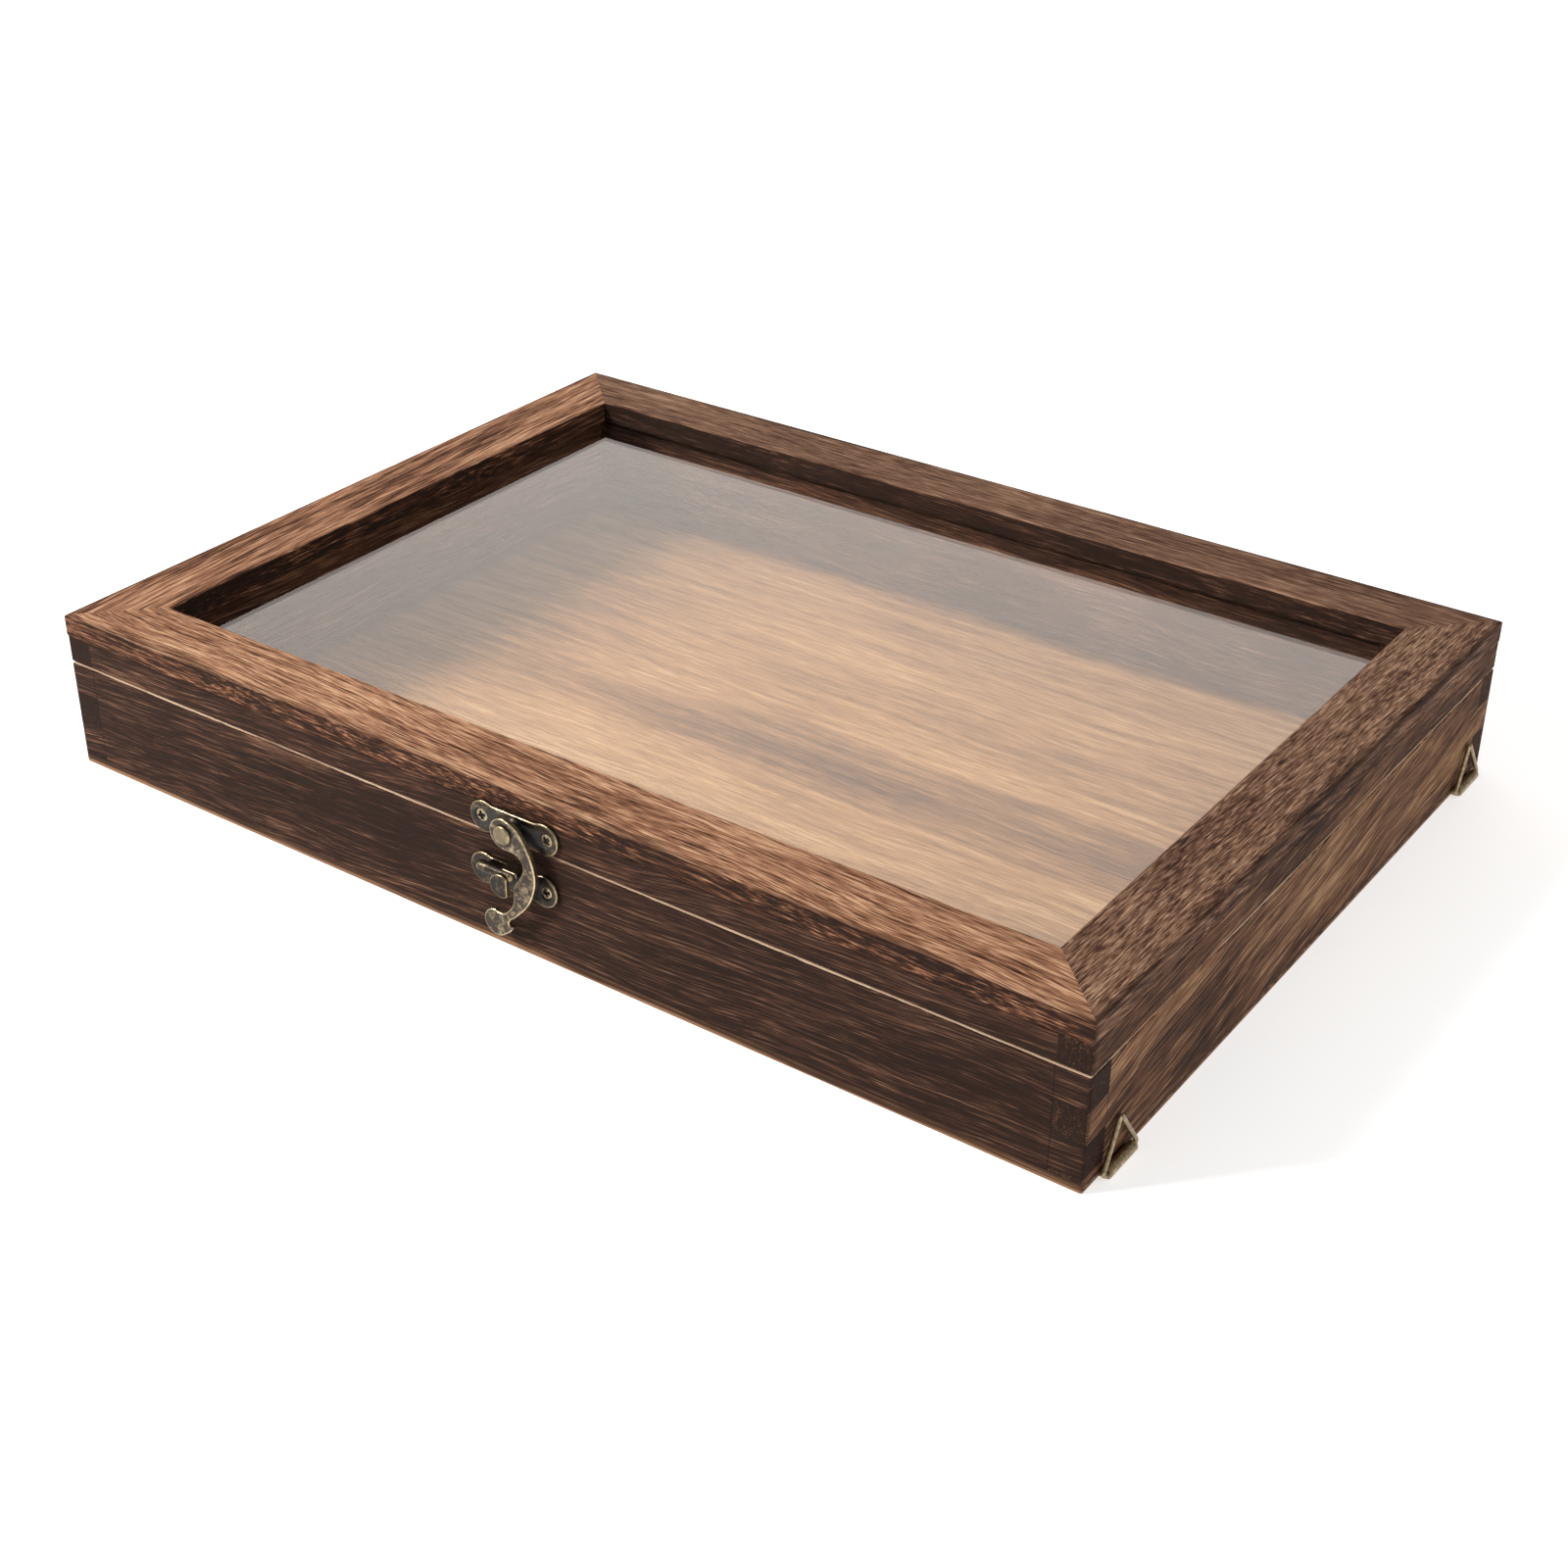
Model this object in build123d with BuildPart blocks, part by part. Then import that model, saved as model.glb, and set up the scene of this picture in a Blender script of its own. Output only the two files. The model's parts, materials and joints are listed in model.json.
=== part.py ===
"""Tabletop display case: a finger-jointed wooden box sawn into a base and a hinged, glazed lid.

All sizes are in millimetres. The origin is the centre of the underside, +X runs along the
hinge line to the right, +Y points to the back and +Z up. The front carries a swing-hook
latch, and two hangers under the right wall let the case hang upright on a wall.
"""
import os
from math import cos, radians, sin

from build123d import *

os.makedirs("parts", exist_ok=True)

# ---- the wooden carcass ---------------------------------------------------------------
CASE_W = 350.0
CASE_D = 250.0
CASE_H = 50.0
WALL_T = 9.5
PANEL_T = 2.5
FRAME_T = 7.0
FRAME_W = 22.0
SAW_CUT_Z = 34.2
SAW_GAP = 0.4
FINGER_H = 10.0
CORNER_R = 0.8
SAWN_EDGE = 0.45
FRAME_EDGE_R = 0.9
FRAME_SEAM = 0.3

# ---- glazing --------------------------------------------------------------------------
GLASS_T = 2.0
GLASS_GAP = 0.5
POINT_W = 6.0
POINT_T = 0.6
POINT_IN_WOOD = 4.0
POINT_OUT = 4.0
POINTS_ALONG_W = 4
POINTS_ALONG_D = 3
POINT_PITCH_W = 84.0
POINT_PITCH_D = 70.0

# ---- countersunk screws, one size throughout ------------------------------------------
SCREW_R = 1.1
SCREW_HEAD_R = 2.0
SCREW_L = 7.0
RECESS_SPAN = 2.2
RECESS_SLOT = 0.55
RECESS_DEPTH = 0.7

# ---- butt hinges ----------------------------------------------------------------------
HINGE_X = 105.0
HINGE_L = 26.0
LEAF_H = 10.5
LEAF_T = 1.0
LEAF_CORNER = 1.5
BARREL_R = 1.9
PIN_R = 0.8
PIN_FIT = 0.01
BARREL_FIT = 0.05
KNUCKLES = 5
KNUCKLE_GAP = 0.2
PIN_HEAD_R = 1.3
PIN_HEAD_T = 0.5
HINGE_SCREW_X = 8.0
HINGE_SCREW_Z = 6.3

# ---- swing-hook latch -----------------------------------------------------------------
LATCH_X = 1.7
LATCH_Z = 39.5
CATCH_X = 0.7
CATCH_Z = 23.0
EAR_X = 10.3
EAR_R = 4.9
EAR_NECK_R = 4.0
WAIST_H = 4.1
EAR_SCREW_X = 11.2
PLATE_T = 1.2
PLATE_EDGE = 0.45
BOSS_R = 2.6
BOSS_T = 2.5
HOOK_GAP = 0.1
HOOK_T = 1.5
HOOK_EYE_R = 4.8
RIVET_R = 1.5
RIVET_HEAD_R = 2.9
RIVET_HEAD_T = 0.9
RIVET_HEAD_EDGE = 0.4
RIVET_FIT = 0.08
LUG_BAR_R = 1.55
LUG_BAR_OUT = 5.0
LUG_BAR_Z = 4.0
LUG_BAR_LEFT = -7.4
LUG_BAR_RIGHT = 2.3
LUG_WEB_T = 1.7
LUG_HEAD_R = 3.6
LUG_HEAD_X = 0.7
LUG_HEAD_Z = 1.4
LUG_FLAT_X = 3.0
LUG_HEAD_OUT = 5.9
LUG_HEAD_T = 1.5
TONGUE_W = 5.1
TONGUE_LOW = 4.4
TONGUE_T = 1.5
TONGUE_OUT = 5.6

# ---- wall hangers ---------------------------------------------------------------------
HANGER_Y = 110.0
STRAP_T = 0.9
STRAP_W = 13.2
STRAP_IN = 14.0
STRAP_SCREW_IN = 6.5
STRAP_SCREW_Y = 4.0
CURL_R = 1.5
CURL_OUT = 1.9
WIRE_R = 0.7
WIRE_FIT = 0.08
RING_W = 17.6
RING_H = 13.4
RING_BEND_R = 0.9
RING_LEAN = 3.4

# ---- levels and planes worked out from the sizes above ----------------------------------
INNER_W = CASE_W - 2 * WALL_T
INNER_D = CASE_D - 2 * WALL_T
BASE_TOP = SAW_CUT_Z - SAW_GAP / 2
LID_LOW = SAW_CUT_Z + SAW_GAP / 2
FRAME_Z = CASE_H - FRAME_T
GLASS_Z = FRAME_Z - GLASS_T
HOOK_OUT = PLATE_T + BOSS_T + HOOK_GAP
HINGE_Y = CASE_D / 2 + BARREL_R
STRAP_X = CASE_W / 2 + CURL_OUT
KNUCKLE_PITCH = HINGE_L / KNUCKLES

FRONT = Plane(origin=(0, -CASE_D / 2, 0), x_dir=(1, 0, 0), z_dir=(0, -1, 0))
BACK = Plane(origin=(0, CASE_D / 2, 0), x_dir=(-1, 0, 0), z_dir=(0, 1, 0))
LEFT = Plane(origin=(-CASE_W / 2, 0, 0), x_dir=(0, -1, 0), z_dir=(-1, 0, 0))
RIGHT = Plane(origin=(CASE_W / 2, 0, 0), x_dir=(0, 1, 0), z_dir=(1, 0, 0))

# Fingers are counted down from the saw cut: the front and back walls own the first and
# third, the side walls own the second and the thin one that is left at the bottom.
FINGER_TOPS = [SAW_CUT_Z - step * FINGER_H for step in range(4)]
FRONT_FINGERS = [(FINGER_TOPS[1], BASE_TOP), (FINGER_TOPS[3], FINGER_TOPS[2])]
SIDE_FINGERS = [(FINGER_TOPS[2], FINGER_TOPS[1]), (PANEL_T, FINGER_TOPS[3])]


def write_piece(piece, name):
    """Label a finished piece and write it as one STEP file."""
    piece.part.label = name
    export_step(piece.part, f"parts/{name}.step")


def on_face(face, across, up, out=0.0):
    """A plane parallel to a wall face, at a place across and up it and standing off it."""
    return Plane(
        origin=face.from_local_coords(Vector(across, up, out)),
        x_dir=face.x_dir,
        z_dir=face.z_dir,
    )


def carcass_ring(z_low, z_high, sawn_side):
    """The four-sided wooden ring between two heights, eased all round its sawn outer edge."""
    with BuildSketch(Plane.XY.offset(z_low)) as ring:
        RectangleRounded(CASE_W, CASE_D, CORNER_R)
        Rectangle(INNER_W, INNER_D, mode=Mode.SUBTRACT)
    extrude(ring.sketch, amount=z_high - z_low)
    sawn_face = faces().sort_by(Axis.Z)[sawn_side]
    chamfer(sawn_face.outer_wire().edges(), SAWN_EDGE)


def keep_wall(face, inner_run, outer_run, z_low, z_high, fingers):
    """Cut the ring down to one wall: its run between the others, and its own fingers."""
    with BuildSketch(face) as elevation:
        with Locations((0, (z_low + z_high) / 2)):
            Rectangle(inner_run, z_high - z_low)
        for low, high in fingers:
            with Locations((0, (low + high) / 2)):
                Rectangle(outer_run, high - low)
    extrude(elevation.sketch, amount=-WALL_T, mode=Mode.INTERSECT)


def mitred_rail(edge, outer_length):
    """A flat rail with 45 degree ends, eased along its two upper arrises."""
    half = outer_length / 2
    with BuildSketch(edge) as outline:
        with BuildLine():
            Polyline(
                (-half, 0),
                (half, 0),
                (half - FRAME_W, FRAME_W),
                (-half + FRAME_W, FRAME_W),
                close=True,
            )
        make_face()
    extrude(outline.sketch, amount=FRAME_T)
    along = Axis(edge.origin, edge.x_dir)
    fillet(faces().sort_by(Axis.Z)[-1].edges().filter_by(along), FRAME_EDGE_R)
    lower_edges = faces().sort_by(Axis.Z)[0].edges().filter_by(along)
    chamfer(lower_edges.sort_by(Edge.length)[-1], FRAME_SEAM)


def screw_sites(face, places):
    """Planes of the head tops of screws that are seated in a countersunk plate on a face."""
    return [on_face(face, across, up, SCREW_HEAD_R - SCREW_R) for across, up in places]


def screw_group(sites):
    """Countersunk cross-head screws whose head tops lie in the given planes."""
    top = (Align.CENTER, Align.CENTER, Align.MAX)
    with Locations(*sites):
        Cone(SCREW_R, SCREW_HEAD_R, SCREW_HEAD_R - SCREW_R, align=top)
        Cylinder(SCREW_R, SCREW_L, align=top)
    with BuildSketch(*sites) as crosses:
        Rectangle(RECESS_SPAN, RECESS_SLOT)
        Rectangle(RECESS_SLOT, RECESS_SPAN)
    extrude(crosses.sketch, amount=-RECESS_DEPTH, mode=Mode.SUBTRACT)


def screw_bores(sites):
    """Bores in the wood that the screws fill."""
    with Locations(*sites):
        Hole(SCREW_R, SCREW_L)


def countersinks(face, places, thickness):
    """Countersunk holes through a plate that lies on a face."""
    with Locations(*[on_face(face, across, up, thickness) for across, up in places]):
        CounterSinkHole(SCREW_R, SCREW_R + thickness, thickness, 90)


def spread(count, pitch):
    """Places of evenly spaced items, centred on zero."""
    return [(index - (count - 1) / 2) * pitch for index in range(count)]


# ---- where the hardware goes ------------------------------------------------------------
HOOK_PLATE_SCREWS = [(LATCH_X + side * EAR_SCREW_X, LATCH_Z) for side in (-1, 1)]
CATCH_SCREWS = [(CATCH_X + side * EAR_SCREW_X, CATCH_Z) for side in (-1, 1)]
HINGES = {"left": -HINGE_X, "right": HINGE_X}
HANGERS = {"front": -HANGER_Y, "back": HANGER_Y}
POCKET_FLOOR = Plane(origin=(0, 0, STRAP_T), x_dir=(0, 1, 0), z_dir=(0, 0, -1))
STRAP_SCREW_X = CASE_W / 2 - STRAP_SCREW_IN


def leaf_screws(hinge_x, side):
    """Screw places of a hinge leaf on the back face: side is -1 below the cut, 1 above."""
    height = SAW_CUT_Z + side * HINGE_SCREW_Z
    return [(-hinge_x + offset, height) for offset in (-HINGE_SCREW_X, HINGE_SCREW_X)]


def strap_screws(hanger_y):
    """Screw places of a hanger strap in its pocket."""
    return [(hanger_y + offset, STRAP_SCREW_X) for offset in (-STRAP_SCREW_Y, STRAP_SCREW_Y)]


BASE_LEAF_SCREWS = [place for x in HINGES.values() for place in leaf_screws(x, -1)]
LID_LEAF_SCREWS = [place for x in HINGES.values() for place in leaf_screws(x, 1)]
STRAP_SCREWS = [place for y in HANGERS.values() for place in strap_screws(y)]

HOOK_PLATE_SITES = screw_sites(FRONT, HOOK_PLATE_SCREWS)
CATCH_SITES = screw_sites(FRONT, CATCH_SCREWS)
BASE_LEAF_SITES = screw_sites(BACK, BASE_LEAF_SCREWS)
LID_LEAF_SITES = screw_sites(BACK, LID_LEAF_SCREWS)
STRAP_SITES = screw_sites(POCKET_FLOOR, STRAP_SCREWS)

# Glazing points sit in the inner faces of the lid's rails, just under the glass.
POINT_PLANES = []
for inner_face, count, pitch in (
    (Plane(origin=(0, -INNER_D / 2, GLASS_Z), x_dir=(1, 0, 0), z_dir=(0, 0, 1)),
     POINTS_ALONG_W, POINT_PITCH_W),
    (Plane(origin=(0, INNER_D / 2, GLASS_Z), x_dir=(-1, 0, 0), z_dir=(0, 0, 1)),
     POINTS_ALONG_W, POINT_PITCH_W),
    (Plane(origin=(-INNER_W / 2, 0, GLASS_Z), x_dir=(0, -1, 0), z_dir=(0, 0, 1)),
     POINTS_ALONG_D, POINT_PITCH_D),
    (Plane(origin=(INNER_W / 2, 0, GLASS_Z), x_dir=(0, 1, 0), z_dir=(0, 0, 1)),
     POINTS_ALONG_D, POINT_PITCH_D),
):
    for place in spread(count, pitch):
        POINT_PLANES.append(
            Plane(
                origin=inner_face.from_local_coords(Vector(place, 0, 0)),
                x_dir=inner_face.x_dir,
                z_dir=inner_face.z_dir,
            )
        )


def point_slots():
    """Slots in a rail that the buried halves of the glazing points fill."""
    with BuildSketch(*POINT_PLANES) as slots:
        with Locations((0, -POINT_IN_WOOD / 2)):
            Rectangle(POINT_W, POINT_IN_WOOD)
    extrude(slots.sketch, amount=-POINT_T, mode=Mode.SUBTRACT)


# ---- base: four finger-jointed walls and the bottom panel ---------------------------------
BASE_SPAN = (PANEL_T, BASE_TOP)

with BuildPart() as base_wall_front:
    carcass_ring(*BASE_SPAN, sawn_side=-1)
    keep_wall(FRONT, INNER_W, CASE_W, *BASE_SPAN, FRONT_FINGERS)
    screw_bores(CATCH_SITES)
write_piece(base_wall_front, "base_wall_front")

with BuildPart() as base_wall_back:
    carcass_ring(*BASE_SPAN, sawn_side=-1)
    keep_wall(BACK, INNER_W, CASE_W, *BASE_SPAN, FRONT_FINGERS)
    screw_bores(BASE_LEAF_SITES)
write_piece(base_wall_back, "base_wall_back")

with BuildPart() as base_wall_left:
    carcass_ring(*BASE_SPAN, sawn_side=-1)
    keep_wall(LEFT, INNER_D, CASE_D, *BASE_SPAN, SIDE_FINGERS)
write_piece(base_wall_left, "base_wall_left")

with BuildPart() as base_wall_right:
    carcass_ring(*BASE_SPAN, sawn_side=-1)
    keep_wall(RIGHT, INNER_D, CASE_D, *BASE_SPAN, SIDE_FINGERS)
    screw_bores(STRAP_SITES)
write_piece(base_wall_right, "base_wall_right")

with BuildPart() as bottom_panel:
    with BuildSketch():
        RectangleRounded(CASE_W, CASE_D, CORNER_R)
    extrude(amount=PANEL_T)
    with BuildSketch():
        with Locations(*[(CASE_W / 2 - STRAP_IN / 2, y) for y in HANGERS.values()]):
            Rectangle(STRAP_IN, STRAP_W)
    extrude(amount=STRAP_T, mode=Mode.SUBTRACT)
    screw_bores(STRAP_SITES)
write_piece(bottom_panel, "bottom_panel")

# ---- lid: four rails, a mitred face frame, the glass and the points that hold it ------------
LID_SPAN = (LID_LOW, FRAME_Z)

with BuildPart() as lid_rail_front:
    carcass_ring(*LID_SPAN, sawn_side=0)
    keep_wall(FRONT, INNER_W, INNER_W, *LID_SPAN, [])
    screw_bores(HOOK_PLATE_SITES)
    point_slots()
write_piece(lid_rail_front, "lid_rail_front")

with BuildPart() as lid_rail_back:
    carcass_ring(*LID_SPAN, sawn_side=0)
    keep_wall(BACK, INNER_W, INNER_W, *LID_SPAN, [])
    screw_bores(LID_LEAF_SITES)
    point_slots()
write_piece(lid_rail_back, "lid_rail_back")

with BuildPart() as lid_rail_left:
    carcass_ring(*LID_SPAN, sawn_side=0)
    keep_wall(LEFT, CASE_D, CASE_D, *LID_SPAN, [])
    point_slots()
write_piece(lid_rail_left, "lid_rail_left")

with BuildPart() as lid_rail_right:
    carcass_ring(*LID_SPAN, sawn_side=0)
    keep_wall(RIGHT, CASE_D, CASE_D, *LID_SPAN, [])
    point_slots()
write_piece(lid_rail_right, "lid_rail_right")

with BuildPart() as face_frame_front:
    mitred_rail(Plane((0, -CASE_D / 2, FRAME_Z), x_dir=(1, 0, 0)), CASE_W)
write_piece(face_frame_front, "face_frame_front")

with BuildPart() as face_frame_back:
    mitred_rail(Plane((0, CASE_D / 2, FRAME_Z), x_dir=(-1, 0, 0)), CASE_W)
write_piece(face_frame_back, "face_frame_back")

with BuildPart() as face_frame_left:
    mitred_rail(Plane((-CASE_W / 2, 0, FRAME_Z), x_dir=(0, -1, 0)), CASE_D)
write_piece(face_frame_left, "face_frame_left")

with BuildPart() as face_frame_right:
    mitred_rail(Plane((CASE_W / 2, 0, FRAME_Z), x_dir=(0, 1, 0)), CASE_D)
write_piece(face_frame_right, "face_frame_right")

with BuildPart() as glass_pane:
    with BuildSketch(Plane.XY.offset(GLASS_Z)):
        Rectangle(INNER_W - 2 * GLASS_GAP, INNER_D - 2 * GLASS_GAP)
    extrude(amount=GLASS_T)
write_piece(glass_pane, "glass_pane")

with BuildPart() as glazing_points:
    with BuildSketch(*POINT_PLANES):
        with BuildLine():
            Polyline(
                (-POINT_W / 2, -POINT_IN_WOOD),
                (POINT_W / 2, -POINT_IN_WOOD),
                (POINT_W / 2, 0),
                (POINT_W / 4, POINT_OUT),
                (-POINT_W / 4, POINT_OUT),
                (-POINT_W / 2, 0),
                close=True,
            )
        make_face()
    extrude(amount=-POINT_T)
write_piece(glazing_points, "glazing_points")


# ---- hinges ---------------------------------------------------------------------------------
def hinge_leaf(hinge_x, side, own_knuckles, bore_r):
    """A leaf flat on the back face with its share of the barrel: side -1 below, 1 above."""
    neck_h = BARREL_R + KNUCKLE_GAP
    knuckle_w = KNUCKLE_PITCH - KNUCKLE_GAP
    centres = [spread(KNUCKLES, KNUCKLE_PITCH)[index] for index in own_knuckles]
    with BuildSketch(BACK) as leaf:
        with Locations((-hinge_x, SAW_CUT_Z + side * (neck_h + LEAF_H) / 2)):
            Rectangle(HINGE_L - KNUCKLE_GAP, LEAF_H - neck_h)
        by_height = vertices().sort_by(Axis.Y)
        far_corners = by_height[-2:] if side > 0 else by_height[:2]
        fillet(far_corners, LEAF_CORNER)
        with Locations(*[(-hinge_x - x, SAW_CUT_Z + side * neck_h / 2) for x in centres]):
            Rectangle(knuckle_w, neck_h)
    extrude(leaf.sketch, amount=LEAF_T)
    with Locations(*[(hinge_x + x, HINGE_Y, SAW_CUT_Z) for x in centres]):
        Cylinder(BARREL_R, knuckle_w, rotation=(0, 90, 0))
    with Locations((hinge_x, HINGE_Y, SAW_CUT_Z)):
        Cylinder(bore_r, 2 * HINGE_L, rotation=(0, 90, 0), mode=Mode.SUBTRACT)
    countersinks(BACK, leaf_screws(hinge_x, side), LEAF_T)


for hinge_name, hinge_x in HINGES.items():
    with BuildPart() as hinge_base_leaf:
        hinge_leaf(hinge_x, -1, range(0, KNUCKLES, 2), PIN_R + PIN_FIT)
    write_piece(hinge_base_leaf, f"hinge_{hinge_name}_base_leaf")

    with BuildPart() as hinge_lid_leaf:
        hinge_leaf(hinge_x, 1, range(1, KNUCKLES, 2), PIN_R + BARREL_FIT)
    write_piece(hinge_lid_leaf, f"hinge_{hinge_name}_lid_leaf")

    with BuildPart() as hinge_pin:
        with Locations((hinge_x, HINGE_Y, SAW_CUT_Z)):
            Cylinder(PIN_R, HINGE_L, rotation=(0, 90, 0))
        head_x = (HINGE_L + PIN_HEAD_T) / 2
        with Locations(*[(hinge_x + end * head_x, HINGE_Y, SAW_CUT_Z) for end in (-1, 1)]):
            Cylinder(PIN_HEAD_R, PIN_HEAD_T, rotation=(0, 90, 0))
    write_piece(hinge_pin, f"hinge_{hinge_name}_pin")

with BuildPart() as hinge_screws_base:
    screw_group(BASE_LEAF_SITES)
write_piece(hinge_screws_base, "hinge_screws_base")

with BuildPart() as hinge_screws_lid:
    screw_group(LID_LEAF_SITES)
write_piece(hinge_screws_lid, "hinge_screws_lid")


# ---- latch: hook plate, hook and rivet on the lid, catch on the base --------------------------
def eared_plate(face):
    """A plate with a round ear at each end and a slightly drawn-in waist, bevelled in front."""
    with BuildSketch(face) as outline:
        with Locations((-EAR_X, 0), (EAR_X, 0)):
            Circle(EAR_R)
        Rectangle(2 * EAR_X, 2 * WAIST_H)
        fillet(vertices(), EAR_NECK_R)
    extrude(outline.sketch, amount=PLATE_T)
    chamfer(faces().sort_by(Axis.Y)[0].edges(), PLATE_EDGE)


PIVOT = on_face(FRONT, LATCH_X, LATCH_Z)
CATCH = on_face(FRONT, CATCH_X, CATCH_Z)

with BuildPart() as hook_plate:
    eared_plate(PIVOT)
    with BuildSketch(PIVOT.offset(PLATE_T)):
        Circle(BOSS_R)
    extrude(amount=BOSS_T)
    with Locations(PIVOT.offset(PLATE_T + BOSS_T)):
        Hole(RIVET_R, PLATE_T + BOSS_T)
    countersinks(FRONT, HOOK_PLATE_SCREWS, PLATE_T)
write_piece(hook_plate, "hook_plate")

with BuildPart() as hook_plate_screws:
    screw_group(HOOK_PLATE_SITES)
write_piece(hook_plate_screws, "hook_plate_screws")

with BuildPart() as hook_rivet:
    with BuildSketch(PIVOT):
        Circle(RIVET_R)
    extrude(amount=HOOK_OUT + HOOK_T + HOOK_GAP)
    with BuildSketch(PIVOT.offset(HOOK_OUT + HOOK_T + HOOK_GAP)):
        Circle(RIVET_HEAD_R)
    extrude(amount=RIVET_HEAD_T)
    fillet(faces().sort_by(Axis.Y)[0].edges(), RIVET_HEAD_EDGE)
write_piece(hook_rivet, "hook_rivet")

with BuildPart() as hook:
    with BuildSketch(PIVOT.offset(HOOK_OUT)):
        with BuildLine():
            # the eye round the rivet, then the long outer sweep down to the thumb piece
            ThreePointArc((0, -HOOK_EYE_R), (-HOOK_EYE_R, 0), (0, HOOK_EYE_R))
            Spline(
                (0, HOOK_EYE_R),
                (4.3, 2.9),
                (8.6, -3.5),
                (10.3, -9.7),
                (9.6, -14.8),
                (7.1, -20.2),
                (1.9, -26.0),
                tangents=((1, 0), (-1, -0.9)),
            )
            # the little curl and the round thumb piece
            ThreePointArc((1.9, -26.0), (0.5, -27.2), (0.2, -28.9))
            ThreePointArc((0.2, -28.9), (1.0, -28.9), (1.7, -28.4))
            ThreePointArc((1.7, -28.4), (0.7, -30.4), (-1.1, -31.8))
            ThreePointArc((-1.1, -31.8), (-8.4, -30.2), (-4.8, -25.0))
            # the inner edge back up to the ledge that the catch holds
            ThreePointArc((-4.8, -25.0), (-2.7, -25.6), (-0.6, -24.7))
            Spline((-0.6, -24.7), (1.7, -21.9), (2.5, -18.5), (2.4, -14.9))
            Line((2.4, -14.9), (4.4, -12.6))
            # the throat under the eye
            Spline(
                (4.4, -12.6),
                (6.1, -9.2),
                (5.7, -6.3),
                (3.4, -4.9),
                (0, -HOOK_EYE_R),
                tangents=((0.7, 1), (-1, 0)),
            )
        make_face()
        Circle(RIVET_R + RIVET_FIT, mode=Mode.SUBTRACT)
    extrude(amount=HOOK_T)
write_piece(hook, "hook")

with BuildPart() as catch_plate:
    eared_plate(CATCH)
    # the raised bar, its web, the half-round head in front and the tongue that the hook holds
    bar_length = LUG_BAR_RIGHT - LUG_BAR_LEFT
    bar_middle = (LUG_BAR_RIGHT + LUG_BAR_LEFT) / 2
    bar_ends = [(x, LUG_BAR_Z, LUG_BAR_OUT) for x in (LUG_BAR_LEFT, LUG_BAR_RIGHT)]
    with Locations(CATCH):
        with Locations((bar_middle, LUG_BAR_Z, LUG_BAR_OUT)):
            Cylinder(LUG_BAR_R, bar_length, rotation=(0, 90, 0))
        with Locations(*bar_ends):
            Sphere(LUG_BAR_R)
    with BuildSketch(CATCH.offset(PLATE_T)):
        with Locations((bar_middle, LUG_BAR_Z - LUG_WEB_T / 2)):
            Rectangle(bar_length, LUG_WEB_T)
    extrude(amount=LUG_BAR_OUT - PLATE_T)
    with BuildSketch(CATCH.offset(LUG_HEAD_OUT)):
        with Locations((LUG_HEAD_X, LUG_HEAD_Z)):
            Circle(LUG_HEAD_R)
        with Locations((LUG_FLAT_X, LUG_HEAD_Z)):
            Rectangle(
                LUG_HEAD_R,
                2 * LUG_HEAD_R,
                align=(Align.MIN, Align.CENTER),
                mode=Mode.SUBTRACT,
            )
    extrude(amount=LUG_HEAD_T)
    with BuildSketch(CATCH):
        with Locations((TONGUE_W / 2, TONGUE_LOW + TONGUE_T / 2)):
            Rectangle(TONGUE_W, TONGUE_T)
    extrude(amount=TONGUE_OUT)
    countersinks(FRONT, CATCH_SCREWS, PLATE_T)
write_piece(catch_plate, "catch_plate")

with BuildPart() as catch_screws:
    screw_group(CATCH_SITES)
write_piece(catch_screws, "catch_screws")

# ---- hangers: straps inlet in the underside, each curled round the foot of a wire ring --------
for hanger_name, hanger_y in HANGERS.items():
    with BuildPart() as hanger_strap:
        with BuildSketch(Plane.XZ.offset(-hanger_y - STRAP_W / 2)):
            with Locations((CASE_W / 2 - STRAP_IN, 0)):
                Rectangle(STRAP_IN + CURL_OUT, STRAP_T, align=(Align.MIN, Align.MIN))
            with Locations((STRAP_X, CURL_R)):
                Circle(CURL_R)
                Circle(WIRE_R + WIRE_FIT, mode=Mode.SUBTRACT)
        extrude(amount=STRAP_W)
        countersinks(POCKET_FLOOR, strap_screws(hanger_y), STRAP_T)
    write_piece(hanger_strap, f"hanger_strap_{hanger_name}")

    with BuildPart() as hanger_ring:
        lean = radians(RING_LEAN)
        ring_plane = Plane(
            origin=(STRAP_X, hanger_y, CURL_R),
            x_dir=(0, 1, 0),
            z_dir=(cos(lean), 0, sin(lean)),
        )
        with BuildLine(ring_plane) as ring_path:
            FilletPolyline(
                (RING_W / 2, 0),
                (0, RING_H),
                (-RING_W / 2, 0),
                radius=RING_BEND_R,
                close=True,
            )
        with BuildSketch(Plane(ring_path.line @ 0, z_dir=ring_path.line % 0)):
            Circle(WIRE_R)
        sweep()
    write_piece(hanger_ring, f"hanger_ring_{hanger_name}")

with BuildPart() as hanger_screws:
    screw_group(STRAP_SITES)
write_piece(hanger_screws, "hanger_screws")
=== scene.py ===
"""Finishes for a tabletop display case: torched wood, glass, antique bronze fittings and a studio.

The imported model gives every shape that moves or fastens. This script gives each wooden piece its
own grain and scorch, lays the glass in, and makes the latch, the rivet and the screw heads again
with rolled, rubbed edges. Sizes below are in millimetres unless a name says otherwise.
"""

import json
import math

import bpy
import numpy as np
from bpy.props import FloatProperty, FloatVectorProperty, PointerProperty
from mathutils import Matrix, Vector
from mathutils.geometry import tessellate_polygon


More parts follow.
